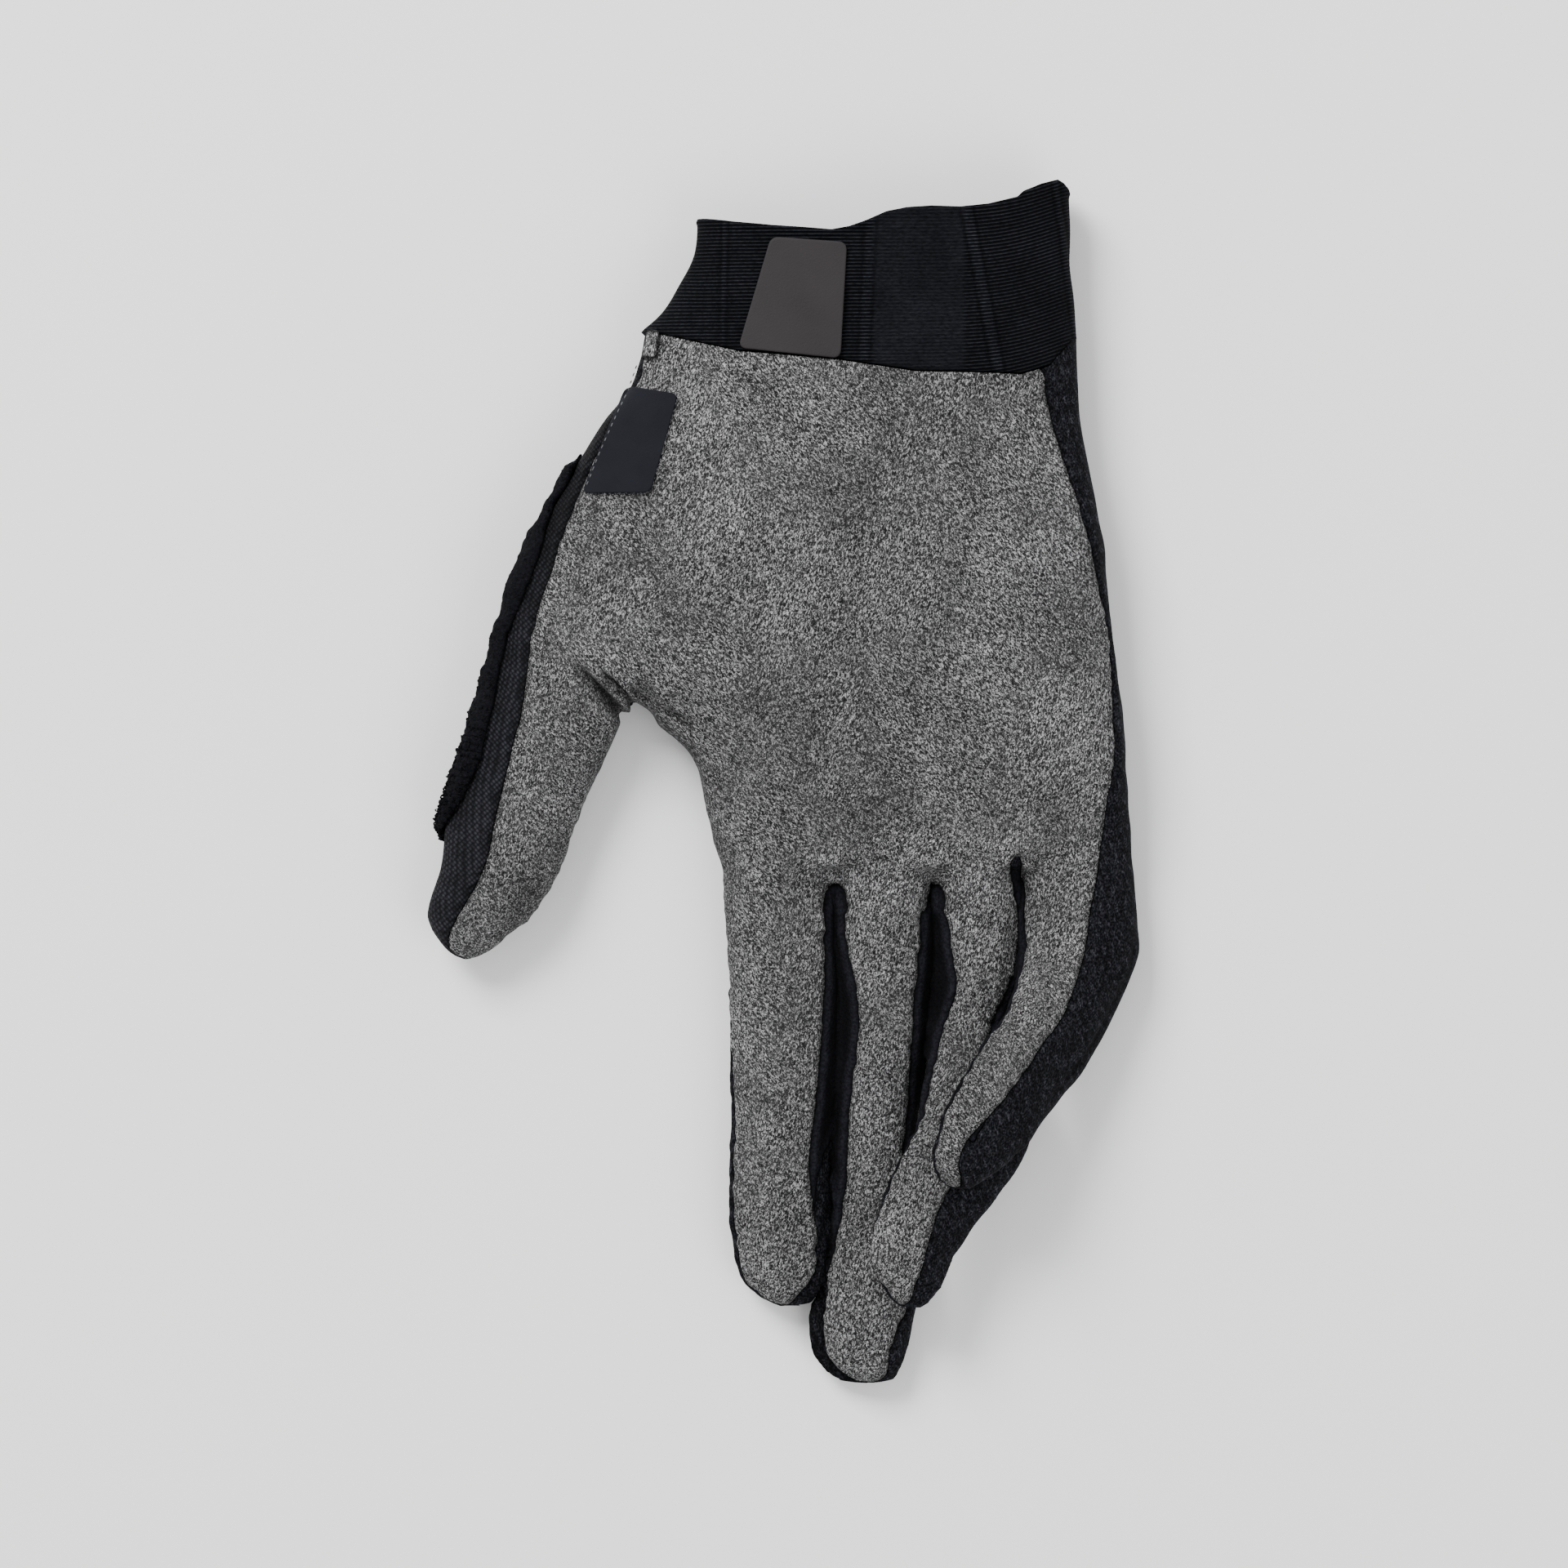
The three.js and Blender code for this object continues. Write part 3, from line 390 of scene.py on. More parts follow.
def in_palm_panel(points):
    """How far a point lies inside the palm panel's seams: the turn to the nearer seam times a degree's
    length, on whichever tube it is on. The edge lines, the cuff's corner and the gaps then cut into it."""
    inside = np.full(len(points), -far_off)
    for tube in tubes:
        outside, turn, degree, left, right = beside(points, tube)
        here = np.minimum(turn - left, right - turn) * degree
        off = np.abs(outside)
        if tube == "palm":
            here = np.minimum(here, points[:, 1] - palm_end)
            off = np.where((points[:, 1] < -88) & (points[:, 2] > 9.6), np.maximum(outside - 1.5, 0), off)
        here = here - 3 * np.maximum(off - 0.4, 0)
        inside = np.maximum(inside, np.where(off < 2.5, here, -far_off))
    x, y, z = points.T
    on_little, on_thumb = (x > 20) & (z > 3), (x < -60) & (z > 7)
    for edge, sign, near in ((little_edge, 1, on_little), (thumb_edge, -1, on_thumb)):
        edge_x = np.interp(-y, -edge[:, 1], edge[:, 0])
        blend = np.clip(np.minimum(edge[0, 1] - y, y - edge[-1, 1]) / 8, 0, 1) * near
        inside += (sign * (edge_x - x) - inside) * blend
    corner = 2.2  # the radius of the corner under the cuff on the little finger's side
    below = np.interp(x, cuff_seam[:, 0], cuff_seam[:, 1]) - 0.3 - y
    rounded = corner - np.hypot(np.maximum(corner - inside, 0), np.maximum(corner - below, 0))
    in_corner = (x > 15) & (z > 8) & (below < corner) & (inside < corner) & (inside > -0.5)
    inside = np.where(in_corner, rounded, inside)
    for crotch_x, crotch_y, top, lower in crotches:
        drop = crotch_y - y
        half = top * np.sqrt(np.clip(1 - (1 - np.clip(drop / top, 0, 1)) ** 2, 0, 1))
        half += (lower - top) * np.clip((drop - top) / 4, 0, 1)
        away = np.abs(x - crotch_x)
        near_gap = (away < 2.9) & (drop < 5) & (drop > -4) & (z > 8)
        inside = np.where(near_gap, np.where(drop > 0, away - half, -drop), inside)
    return inside


def in_fourchette(points, left_digit, right_digit):
    """How far a point lies above a fourchette's lower edge, on the facing sides of two fingers. The edge
    stands at fourchette_turn and climbs to the palm panel's seam, where the fourchette runs out."""
    inside = np.full(len(points), -far_off)
    for digit, sign in ((left_digit, 1), (right_digit, -1)):
        outside, turn, degree, left, right = beside(points, digit)
        length, along = digits[digit][1], digits[digit][4]
        share = (-points[:, 1] - along * palm_length) / length
        taper = np.clip((share - fourchette_taper) / (fourchette_end - fourchette_taper), 0, 1)
        taper = taper * taper * (3 - 2 * taper)
        seam = right if sign > 0 else -left
        edge = fourchette_turn + (seam + 4 - fourchette_turn) * taper
        edge = edge - np.maximum(share - fourchette_end, 0) * 900
        here = np.where(sign * turn > 10, (edge - sign * turn) * degree, -far_off)
        inside = np.maximum(inside, np.where(np.abs(outside) < 1.3, here, -far_off))
    return inside


def left_of_thumb_seam(points):
    """How far a point lies on the thumb's side of the seam on the back of the hand."""
    return np.interp(-points[:, 1], -thumb_seam[:, 1], thumb_seam[:, 0]) - points[:, 0]


def parted(points, triangles, distance, movable):
    """Moves the nearer end of each edge that crosses distance 0 onto the crossing. Gives the points, for
    each triangle whether it lies on the positive side, and for each point its distance."""
    d = distance(points)
    edges = edges_of(triangles)
    edges = edges[movable[edges].all(axis=1)]
    a, b = edges[d[edges[:, 0]] * d[edges[:, 1]] < 0].T
    share = d[a] / (d[a] - d[b])
    mover = np.where(share < 0.5, a, b)
    target = np.where(share < 0.5, b, a)
    share = np.minimum(share, 1 - share)
    order = np.argsort(-share)
    start, points = points, points.copy()
    mover, target, share = mover[order], target[order], share[order, None]
    points[mover] = start[mover] + share * (start[target] - start[mover])
    d[mover] = 0
    return points, d[triangles].sum(axis=1) > 0, d


everywhere = np.ones(len(skin), bool)
skin, kept, _ = parted(skin, triangles, below_cuff, everywhere)
triangles = triangles[kept]
skin, on_palm, palm_distance = parted(skin, triangles, in_palm_panel, everywhere)
of_back, of_palm, of_strips, of_thumb = 0, 1, (2, 3, 4), 5  # the number of the panel that a triangle is on
label = np.where(on_palm, of_palm, of_back)
seam_distance = np.abs(palm_distance)
pairs = [("index", "middle"), ("middle", "ring"), ("ring", "little")]
cuts = [lambda points, pair=pair: in_fourchette(points, *pair) for pair in pairs]
for number, cut in zip((*of_strips, of_thumb), (*cuts, left_of_thumb_seam)):
    free = np.zeros(len(skin), bool)  # the points that are on the back alone
    free[triangles[label == of_back].ravel()] = True
    free[triangles[label != of_back].ravel()] = False
    skin, inside, distance = parted(skin, triangles, cut, free)
    label[inside & (label == of_back)] = number
    seam_distance = np.where(free, np.minimum(seam_distance, np.abs(distance)), seam_distance)


def swell(points, size, seed):
    """A smooth wandering height, mostly from -1 to 1: a quarter of the sum of ten sine waves of length about
    size, in directions drawn from a seeded generator."""
    draw = np.random.default_rng(seed)
    way = draw.normal(size=(10, 3))
    way *= (2 * np.pi / size * draw.uniform(0.7, 1.4, 10) / np.linalg.norm(way, axis=1))[:, None]
    return np.sin(points @ way.T + draw.uniform(0, 2 * np.pi, 10)).sum(axis=1) / 4


def fold(points, start, end, width):
    """A crease between two places of the photograph, a Gaussian dent of that width, from 0 to 1, that fades
    out at its ends."""
    start, end = from_picture((start, end))
    run = end - start
    share = np.clip((points[:, :2] - start) @ run / (run @ run), 0, 1)
    away = np.linalg.norm(points[:, :2] - start - share[:, None] * run, axis=1)
    ends = np.clip(share * 3 + 0.15, 0, 1) * np.clip((1 - share) * 6 + 0.5, 0, 1)
    return np.exp(-(away / width) ** 2) * ends


def outward(points, triangles):
    """The direction away from the skin at each point, from the mean of its triangles."""
    a, b, c = points[triangles].transpose(1, 0, 2)
    face = np.cross(b - a, c - a)
    total = np.zeros_like(points)
    for corner in range(3):
        for axis in range(3):
            total[:, axis] += np.bincount(triangles[:, corner], face[:, axis], len(points))
    return total / np.maximum(np.linalg.norm(total, axis=1), 1e-9)[:, None]


def evenly_outward(points, triangles, times):
    """The same direction, made even by relaxing it that many times."""
    way = relaxed(outward(points, triangles), edges_of(triangles), np.full(len(points), 0.6), times)
    return way / np.maximum(np.linalg.norm(way, axis=1), 1e-9)[:, None]


def finer(points, triangles, owner, distance, chosen):
    """Splits each edge whose two ends are chosen at its middle, so that a triangle with three split edges
    becomes four and one with one split edge becomes two."""
    pair = np.sort(np.stack([triangles, np.roll(triangles, -1, axis=1)], -1), axis=-1)
    split = chosen[pair].all(axis=-1)
    ends, which = np.unique(pair[split], axis=0, return_inverse=True)
    middle = np.full(split.shape, -1)
    middle[split] = len(points) + which.ravel()
    points = np.vstack([points, points[ends].mean(axis=1)])
    distance = np.concatenate([distance, distance[ends].mean(axis=1)])
    count = split.sum(axis=1)
    parts, owners = [triangles[count == 0]], [owner[count == 0]]
    a, b, c = triangles[count == 3].T
    ab, bc, ca = middle[count == 3].T
    for three in ((a, ab, ca), (ab, b, bc), (ca, bc, c), (ab, bc, ca)):
        parts.append(np.stack(three, 1))
        owners.append(owner[count == 3])
    side = split[count == 1].argmax(axis=1)
    row = np.arange(len(side))
    a, b, c = [triangles[count == 1][row, (side + k) % 3] for k in range(3)]
    ab = middle[count == 1][row, side]
    for three in ((a, ab, c), (ab, b, c)):
        parts.append(np.stack(three, 1))
        owners.append(owner[count == 1])
    return points, np.vstack(parts), np.concatenate(owners), distance


thumb_creases = [  # from, to, width, depth. A ridge's depth is negative
    ((701, 811), (764, 878), 0.90, 1.7),
    ((735, 822), (778, 868), 0.80, 1.7),
    ((766, 838), (791, 861), 0.45, 0.8),
    ((688, 822), (748, 890), 0.80, -0.6),
    ((719, 813), (770, 866), 0.50, -0.9),
    ((752, 827), (784, 860), 0.50, -0.7),
    ((806, 868), (846, 890), 0.80, 0.5),
    ((800, 896), (852, 930), 1.00, 0.4),
    ((812, 882), (858, 915), 0.70, -0.3),
]
# The skin is notched where the thumb's folds run out, and is finer along the seams and under the folds.
notch = (skin[:, :2] - from_picture((789, 868))) / (2.2, 5)
skin[:, 1] += 2.3 * np.exp(-notch[:, 0] ** 4 - notch[:, 1] ** 2) * (skin[:, 2] > 4)
near_creases = (np.linalg.norm(skin[:, :2] - from_picture((765, 850)), axis=1) < 13) & (skin[:, 2] > 5)
skin, triangles, label, seam_distance = finer(
    skin, triangles, label, seam_distance, (seam_distance < 1.1) | near_creases)
# Neighbouring fingers lie against each other: where their sides face, each fills half of the gap. The sides
# of the index and middle finger that face each other also get painted shade, for the shadow in the gap
# between them.
between = np.zeros(len(skin))
for left_digit, right_digit in pairs:
    left_x, left_half = tube_columns(left_digit, skin[:, 1], (1, 3))
    right_x, right_half = tube_columns(right_digit, skin[:, 1], (1, 3))
    gap = right_x - right_half - left_x - left_half
    push = np.clip(gap + 0.3, 0, 5) / 2 * np.clip((-skin[:, 1] - 100) / 6, 0, 1)
    for digit, sign in ((left_digit, 1), (right_digit, -1)):
        outside, turn, degree, left, right = beside(skin, digit)
        turn = sign * turn
        seam = right if sign > 0 else -left
        on_digit = np.abs(outside) < 1.2
        facing = np.exp(-((turn - 98) / 34) ** 2) * np.clip((turn - seam) / 12, 0, 1)
        skin[:, 0] += np.where(on_digit, sign * push * facing, 0)
        if left_digit == "index":
            between = np.maximum(between, np.where(on_digit, np.exp(-((turn - 105) / 30) ** 2), 0))
# Height is what the panels rise or sink by, and lightness what their colours are multiplied by.
calm = np.clip(np.abs(skin[:, 1] + 14) / 20 - 0.3, 0, 1)  # flatter where the patches lie
height = 0.30 * swell(skin, 26, 3) + 0.16 * swell(skin, 9, 5) * calm
height += -0.55 * np.exp(-(seam_distance / 0.75) ** 2) + 0.22 * np.exp(-(seam_distance / 2.2) ** 2)
height += 0.26 * swell(skin, 3.2, 8) * np.exp(-(seam_distance / 1.8) ** 2)
label_of_point = np.zeros(len(skin), int)
label_of_point[triangles.ravel()] = np.repeat(label, 3)
lightness = 1 - 0.42 * np.exp(-(seam_distance / 0.55) ** 2)
# Each fold is sunk and painted with shade along its crease, and each ridge is raised and painted with a
# highlight.
for start, end, width, depth in thumb_creases:
    crease = np.where(skin[:, 2] > 6, fold(skin, start, end, width), 0)
    height -= depth * crease
    lightness -= (0.85 if depth > 0 else -0.35) * min(1, abs(depth)) * crease
# A sewn line shows in the back's knit, down the outer side of the little finger and, for a short stretch,
# on the ring finger's.
seam_line = [(1392, 1150), (1385, 1182), (1360, 1238), (1332, 1288), (1303, 1326), (1287, 1344)]
for start, end in [*zip(seam_line, seam_line[1:]), ((1255, 1389), (1240, 1425))]:
    crease = np.where(skin[:, 2] > 2, fold(skin, start, end, 0.42), 0)
    height -= 0.3 * crease
    lightness -= 0.5 * crease
# The thumb's knit is darker towards the wrist. The back between the fingers and the strips deep inside get
# painted shade, and the strips along their edges a painted highlight.
towards_wrist = np.clip((skin[:, 1] + 66) / 36, 0, 1) * (skin[:, 0] < -45)
lightness *= 1 - 0.55 * towards_wrist * (label_of_point == of_thumb)
lightness *= np.where(label_of_point == of_back, 1 - 0.7 * between, 1)
# Painted shade deep inside the strips, and a painted highlight along their edges where the top of each strip
# catches the light.
strip_edge_highlight_depth_shade = 0.35 + 1.5 * np.exp(-((seam_distance - 0.8) / 0.8) ** 2)
lightness *= np.where(np.isin(label_of_point, of_strips), strip_edge_highlight_depth_shade, 1)
shade_and_tone_patches = [  # where the suede is drawn lighter or darker, partly painted light and shade and partly the suede's own uneven tone: a place and a radius in the photograph, an amount
    (1290, 880, 75, 0.22), (745, 785, 60, 0.20), (1255, 690, 60, 0.12), (930, 560, 90, 0.08),
    (1090, 900, 90, -0.08), (690, 940, 45, 0.12), (640, 1080, 40, -0.14), (905, 1010, 60, 0.10),
    (1180, 480, 110, -0.10), (870, 770, 90, -0.10), (1110, 1010, 60, 0.08), (1195, 1300, 30, -0.12),
    (1075, 1420, 50, -0.08), (955, 1560, 40, 0.10), (720, 680, 60, -0.10),
]
for x, y, radius, amount in shade_and_tone_patches:
    away = ((skin[:, :2] - from_picture((x, y))) ** 2).sum(axis=1)
    lightness += amount * np.exp(-away / (radius * pixel) ** 2)
lightness += 0.10 * swell(skin, 17, 11) + 0.06 * swell(skin, 7, 12)
height *= 1 - 0.7 * near_tips(skin)
for x, y, *_ in crotches:  # the suede stays full above the gaps
    full = np.exp(-((skin[:, 0] - x) / 3.5) ** 2 - ((skin[:, 1] - y - 2.2) / 2.4) ** 2)
    full *= label_of_point == of_palm
    height += 0.7 * full
    # Painted highlight: the suede above each gap is also drawn lighter, to offset the shade that falls where
    # the web dips between the fingers.
    lightness += 0.20 * full
skin = skin + evenly_outward(skin, triangles, 3) * height[:, None]
skin[:, 2] = 0.5 * np.logaddexp(0, skin[:, 2] / 0.5)  # it lies flat on the table
cloth, cloth_at_tips, clear_of_table = 1.1, 0.35, 0.05
thick = cloth - (cloth - cloth_at_tips) * near_tips(skin)
lining = skin - evenly_outward(skin, triangles, 8) * thick[:, None]
lining[:, 2] = np.maximum(lining[:, 2], clear_of_table)


def toned(piece, values, name="tone"):
    """Keeps a value for each point, which the piece's material reads. A tone multiplies its colour."""
    values = np.clip(values, 0.1, 4) if name == "tone" else values
    piece.data.attributes.new(name, "FLOAT", "POINT").data.foreach_set("value", values)


def panel(name, number):
    """The part of the skin with one number, its edges drawn back by 0.12 mm, with its lining under it and a
    rim between the two."""
    used, faces = np.unique(triangles[label == number], return_inverse=True)
    faces = faces.reshape(-1, 3)
    walk = faces[:, [0, 1, 1, 2, 2, 0]].reshape(-1, 2)
    edges, which, times = np.unique(np.sort(walk, axis=1), axis=0, return_inverse=True, return_counts=True)
    a, b = walk[times[which.ravel()] == 1].T
    points, count = skin[used], len(used)
    inner = relaxed(points, edges, np.ones(count), 1) - points
    inner /= np.maximum(np.linalg.norm(inner, axis=1), 1e-6)[:, None]
    inner *= 0.12 * np.isin(np.arange(count), a)[:, None]
    rim = np.stack([b, a, a + count, b + count], 1)
    all_faces = faces.tolist() + (faces[:, ::-1] + count).tolist() + rim.tolist()
    piece = new_piece(name, np.vstack([points, lining[used]]) + np.tile(inner, (2, 1)), all_faces)
    toned(piece, np.tile(lightness[used], 2))
    return piece


class Finish:
    """A material as it is built: its nodes, with Object coordinates at hand."""

    def __init__(self, name, roughness, gleam):
        self.material = bpy.data.materials.new(name)
        self.material.use_nodes = True
        self.nodes, self.links = self.material.node_tree.nodes, self.material.node_tree.links
        self.shader = self.nodes["Principled BSDF"]
        self.shader.inputs["Roughness"].default_value = roughness
        self.shader.inputs["Specular IOR Level"].default_value = gleam
        self.place = self.nodes.new("ShaderNodeTexCoord").outputs["Object"]

    def feed(self, socket, value):
        """Another node's output is linked to the socket. A number or a colour is set in it."""
        if isinstance(value, bpy.types.NodeSocket):
            self.links.new(value, socket)
        else:
            socket.default_value = value

    def node(self, kind, inputs, **settings):
        """A node with its settings and inputs. An input is a number, a colour or another node's output."""
        made = self.nodes.new("ShaderNode" + kind)
        for key, value in settings.items():
            setattr(made, key, value)
        for key, value in inputs.items():
            self.feed(made.inputs[key], value)
        return made

    def turned(self, scale, degrees=(0, 0, 0)):
        """Object coordinates turned and stretched."""
        inputs = {"Vector": self.place, "Scale": scale, "Rotation": np.radians(degrees)}
        return self.node("Mapping", inputs).outputs["Vector"]

    def combed(self, degrees, narrow):
        """Object coordinates turned in the plan, then drawn together along the way that the fibres lie."""
        inputs = {"Vector": self.turned((1, 1, 1), (0, 0, degrees)), "Scale": (1, narrow, 1)}
        return self.node("Mapping", inputs).outputs["Vector"]

    def noise(self, where, scale, detail=2.0, rough=0.5, distortion=0.0):
        """Fractal noise from 0 to 1."""
        inputs = {"Vector": where, "Scale": scale, "Detail": detail, "Roughness": rough}
        return self.node("TexNoise", {**inputs, "Distortion": distortion}).outputs["Fac"]

    def ramp(self, value, *stops):
        """A colour ramp. Each stop is a place and a grey or a colour."""
        made = self.node("ValToRGB", {"Fac": value})
        while len(made.color_ramp.elements) < len(stops):
            made.color_ramp.elements.new(0.5)
        for element, (at, colour) in zip(made.color_ramp.elements, stops):
            element.position = at
            element.color = (*colour, 1) if isinstance(colour, tuple) else (colour, colour, colour, 1)
        return made.outputs["Color"]

    def math(self, operation, a, b=0.0):
        """One of Blender's operations on a value or on two."""
        made = self.node("Math", {}, operation=operation)
        for socket, value in zip(made.inputs, (a, b)):
            self.feed(socket, value)
        return made.outputs[0]

    def mix(self, how, share, a, b):
        """Two colours mixed in one of Blender's ways."""
        made = self.node("Mix", {}, data_type="RGBA", blend_type=how)
        for number, value in ((0, share), (6, a), (7, b)):  # the sockets of the share and of the two colours
            self.feed(made.inputs[number], value)
        return made.outputs[2]

    def kept(self, name, output="Fac"):
        """A value that the piece keeps for each point."""
        return self.node("Attribute", {}, attribute_name=name).outputs[output]

    def tone(self, colour):
        """The colour multiplied by the piece's own tone."""
        return self.mix("MULTIPLY", 1.0, colour, self.kept("tone", "Color"))

    def done(self, colour, relief, depth, gloss=None):
        """The colour, and a relief of that depth in metres, go into the shader."""
        self.links.new(colour, self.shader.inputs["Base Color"])
        bump = self.node("Bump", {"Height": relief, "Distance": depth, "Strength": 1.0})
        self.links.new(bump.outputs["Normal"], self.shader.inputs["Normal"])
        if gloss is not None:
            self.links.new(gloss, self.shader.inputs["Roughness"])
        return self.material


# Palm panel: one piece of brushed microfibre suede over the palm and the front of every digit. Its edges
# are turned in and sewn to the knits, so that it puckers lightly along the seams.
suede = Finish("brushed suede", 0.95, 0.15)
leaning = suede.noise(suede.combed(-38, 0.5), 3600, 2.0, 0.55, 1.0)
upright = suede.noise(suede.combed(14, 0.5), 3600, 2.0, 0.55, 1.0)
stroked = suede.ramp(suede.noise(suede.place, 36, 2.0), (0.44, 0.0), (0.56, 1.0))
nap = suede.mix("MIX", stroked, leaning, upright)
clumps = suede.noise(suede.place, 700, 2.0, 0.55, 0.8)
brushed = suede.noise(suede.turned((1, 0.5, 1), (0, 0, -25)), 75, 3.0, 0.5, 0.6)
shade = suede.ramp(nap, (0.36, 0.0045), (0.50, 0.034), (0.65, 0.33))
shade = suede.mix("MULTIPLY", 0.8, shade, suede.ramp(clumps, (0.30, 0.62), (0.70, 1.25)))
shade = suede.mix("MULTIPLY", 0.55, shade, suede.ramp(brushed, (0.32, 0.70), (0.68, 1.25)))
shade = suede.tone(suede.mix("MULTIPLY", 1.0, shade, (0.985, 0.98, 1.0, 1)))
pile = suede.math("ADD", nap, suede.math("MULTIPLY", clumps, 1.3))
suede_finish = suede.done(shade, pile, 0.00016)

palm_panel = panel("palm_suede", of_palm)
palm_panel.data.materials.append(suede_finish)
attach(palm_panel, "root")
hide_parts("palm_panel")

# Back panel: a ripple-knit nylon over the back of the hand and the fingers, which comes round the
# little finger's side and shows beside the suede.
ripple = Finish("ripple knit", 0.9, 0.06)
axes = ripple.node("SeparateXYZ", {"Vector": ripple.turned((1, 1, 1), (0, 0, -8))})
drift = ripple.math("MULTIPLY", ripple.noise(ripple.place, 140, 2.0), 1.6)
stroke_height, stroke_width = 0.0029, 0.00165  # each short stroke of the knit leans, and rows are staggered
row = ripple.math("ADD", ripple.math("MULTIPLY", axes.outputs["Y"], 1 / stroke_height), drift)
up_row = ripple.math("FRACT", row)
lean = ripple.math("MULTIPLY", up_row, 0.32)
stagger = ripple.math("MULTIPLY", ripple.math("FLOOR", row), 0.5)
across = ripple.math("MULTIPLY", axes.outputs["X"], 1 / stroke_width)
across = ripple.math("ADD", across, ripple.math("MULTIPLY", drift, 0.7))
across = ripple.math("FRACT", ripple.math("ADD", across, ripple.math("ADD", lean, stagger)))
stroke_across = ripple.ramp(across, (0.22, 0.0), (0.42, 1.0), (0.50, 1.0), (0.74, 0.0))
stroke_up = ripple.ramp(up_row, (0.05, 0.0), (0.3, 1.0), (0.7, 1.0), (0.95, 0.0))
stroke = ripple.math("MULTIPLY", stroke_across, stroke_up)
threads = ripple.noise(ripple.turned((1, 0.7, 1), (0, 0, -20)), 3000, 2.0, 0.6)
flecks = ripple.noise(ripple.place, 420, 3.0, 0.6)
black, dark, worn_grey = (0.0008, 0.0009, 0.0016), (0.0055, 0.0057, 0.0078), (0.022, 0.022, 0.026)
shade = ripple.ramp(threads, (0.38, black), (0.50, dark), (0.64, worn_grey))
shade = ripple.mix("MULTIPLY", 1.0, shade, ripple.ramp(stroke, (0.0, 0.8), (1.0, 1.9)))
shade = ripple.tone(ripple.mix("MULTIPLY", 0.8, shade, ripple.ramp(flecks, (0.35, 0.5), (0.65, 1.4))))
ripple_finish = ripple.done(shade, ripple.math("ADD", ripple.math("MULTIPLY", stroke, 0.6), threads), 0.00018)

back_panel = panel("back_ripple_knit", of_back)
back_panel.data.materials.append(ripple_finish)
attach(back_panel, "root")
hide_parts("back_panel")

# Fourchettes: three strips of plain side knit, each of which lines the facing sides of two fingers and
# turns round their crotch.
side_knit = Finish("side knit", 0.9, 0.08)
ribbing = side_knit.noise(side_knit.place, 1900, 2.0, 0.5)
shade = side_knit.ramp(ribbing, (0.3, (0.0016, 0.0016, 0.0024)), (0.72, (0.007, 0.007, 0.0095)))
side_finish = side_knit.done(side_knit.tone(shade), ribbing, 0.0003)
strip_cuts = [  # flat width and length, and area
    (0.0135, 0.158, 0.00088), (0.0135, 0.160, 0.00089), (0.0130, 0.127, 0.00072),
]
for number, (left_digit, _), (width, length, area) in zip(of_strips, pairs, strip_cuts):
    strip = panel("side_strip_" + left_digit, number)
    strip.data.materials.append(side_finish)
    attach(strip, "root")
    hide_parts("fourchette_" + left_digit)

# Thumb back: a pique knit round the back of the thumb and its base, in rows of small raised stitches. It
# is sewn to the suede in front and to the ripple knit at the base of the thumb.
pique = Finish("pique knit", 0.85, 0.12)
stitches = pique.node("TexVoronoi", {
    "Vector": pique.combed(-40, 0.75), "Scale": 1500, "Randomness": 0.18,
}, feature="F1").outputs["Distance"]
clouds = pique.noise(pique.place, 260, 3.0, 0.6)
# Each raised stitch gets a painted highlight on its top and painted shade in the dips between stitches.
stitch_highlight, slope, stitch_shade = (0.028, 0.028, 0.034), (0.0125, 0.0125, 0.016), (0.0025, 0.0025, 0.0038)
shade = pique.ramp(stitches, (0.10, stitch_highlight), (0.38, slope), (0.60, stitch_shade))
shade = pique.tone(pique.mix("MULTIPLY", 0.8, shade, pique.ramp(clouds, (0.3, 0.55), (0.7, 1.5))))
pique_finish = pique.done(shade, pique.math("MULTIPLY", stitches, -1.0), 0.0006)

thumb_back = panel("thumb_back_knit", of_thumb)
thumb_back.data.materials.append(pique_finish)
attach(thumb_back, "root")
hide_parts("thumb_back")

# Cuff band: a tapering ring of black ribbed elastic, woven with fine cross ribs, which pulls on over the
# wrist. Between its stitched columns a stretch of it is woven smooth.
cuff_width, cuff_middle = 72.8, -0.113 * palm_width
cuff_low, cuff_high = 0.02 * palm_height, 0.80 * palm_height
rib_pitch = 0.70
edge_on_palm = from_picture([
    (854, 266), (866, 267), (900, 272), (945, 277), (985, 280), (1018, 283), (1040, 279), (1060, 272),
    (1085, 261), (1110, 256), (1140, 254), (1175, 255), (1210, 251), (1245, 242), (1252, 235), (1275, 225),
    (1295, 219), (1302, 223), (1311, 232),
])


def halved(faces):
    """Each four-sided face as two triangles."""
    return faces[:, [0, 1, 2, 0, 2, 3]].reshape(-1, 3)


def cuff_section(level):
    """Middle x, half width, middle z and half height of the band at a level, from 0 at the seam to 1 at its
    open edge. They go from one end's to the other's as 1 - (1 - level) squared."""
    flare = 1 - (1 - level) ** 2
    seam = ((-0.700 + 0.355) / 2 * palm_width, 1.055 / 2 * palm_width,
            (0.84 - 0.05) / 2 * palm_height, 0.89 / 2 * palm_height)
    edge = (cuff_middle, cuff_width / 2, (cuff_low + cuff_high) / 2, (cuff_high - cuff_low) / 2)
    return [a + (b - a) * flare for a, b in zip(seam, edge)]


def cuff_point(turn, level):
    """The band's surface at a turn from the top and a level, on sections of the palm's fullness."""
    x, half_width, z, half_height = cuff_section(level)
    sine, cosine = np.sin(np.radians(turn)), np.cos(np.radians(turn))
    px = x + signed_power(sine, 2 / palm_fullness) * half_width
    pz = z + signed_power(cosine, 2 / palm_fullness) * half_height
    low = np.interp(px, cuff_seam[:, 0], cuff_seam[:, 1])
    on_palm = np.interp(px, edge_on_palm[:, 0], edge_on_palm[:, 1])
    high = on_palm - 0.5 * (1 - cosine)  # the back's edge lies a little lower
    low = low - 0.45 * np.clip((np.abs(px - x) / half_width - 0.9) / 0.1, 0, 1)
    return np.stack([px, low + (high - low) * level, pz], -1)


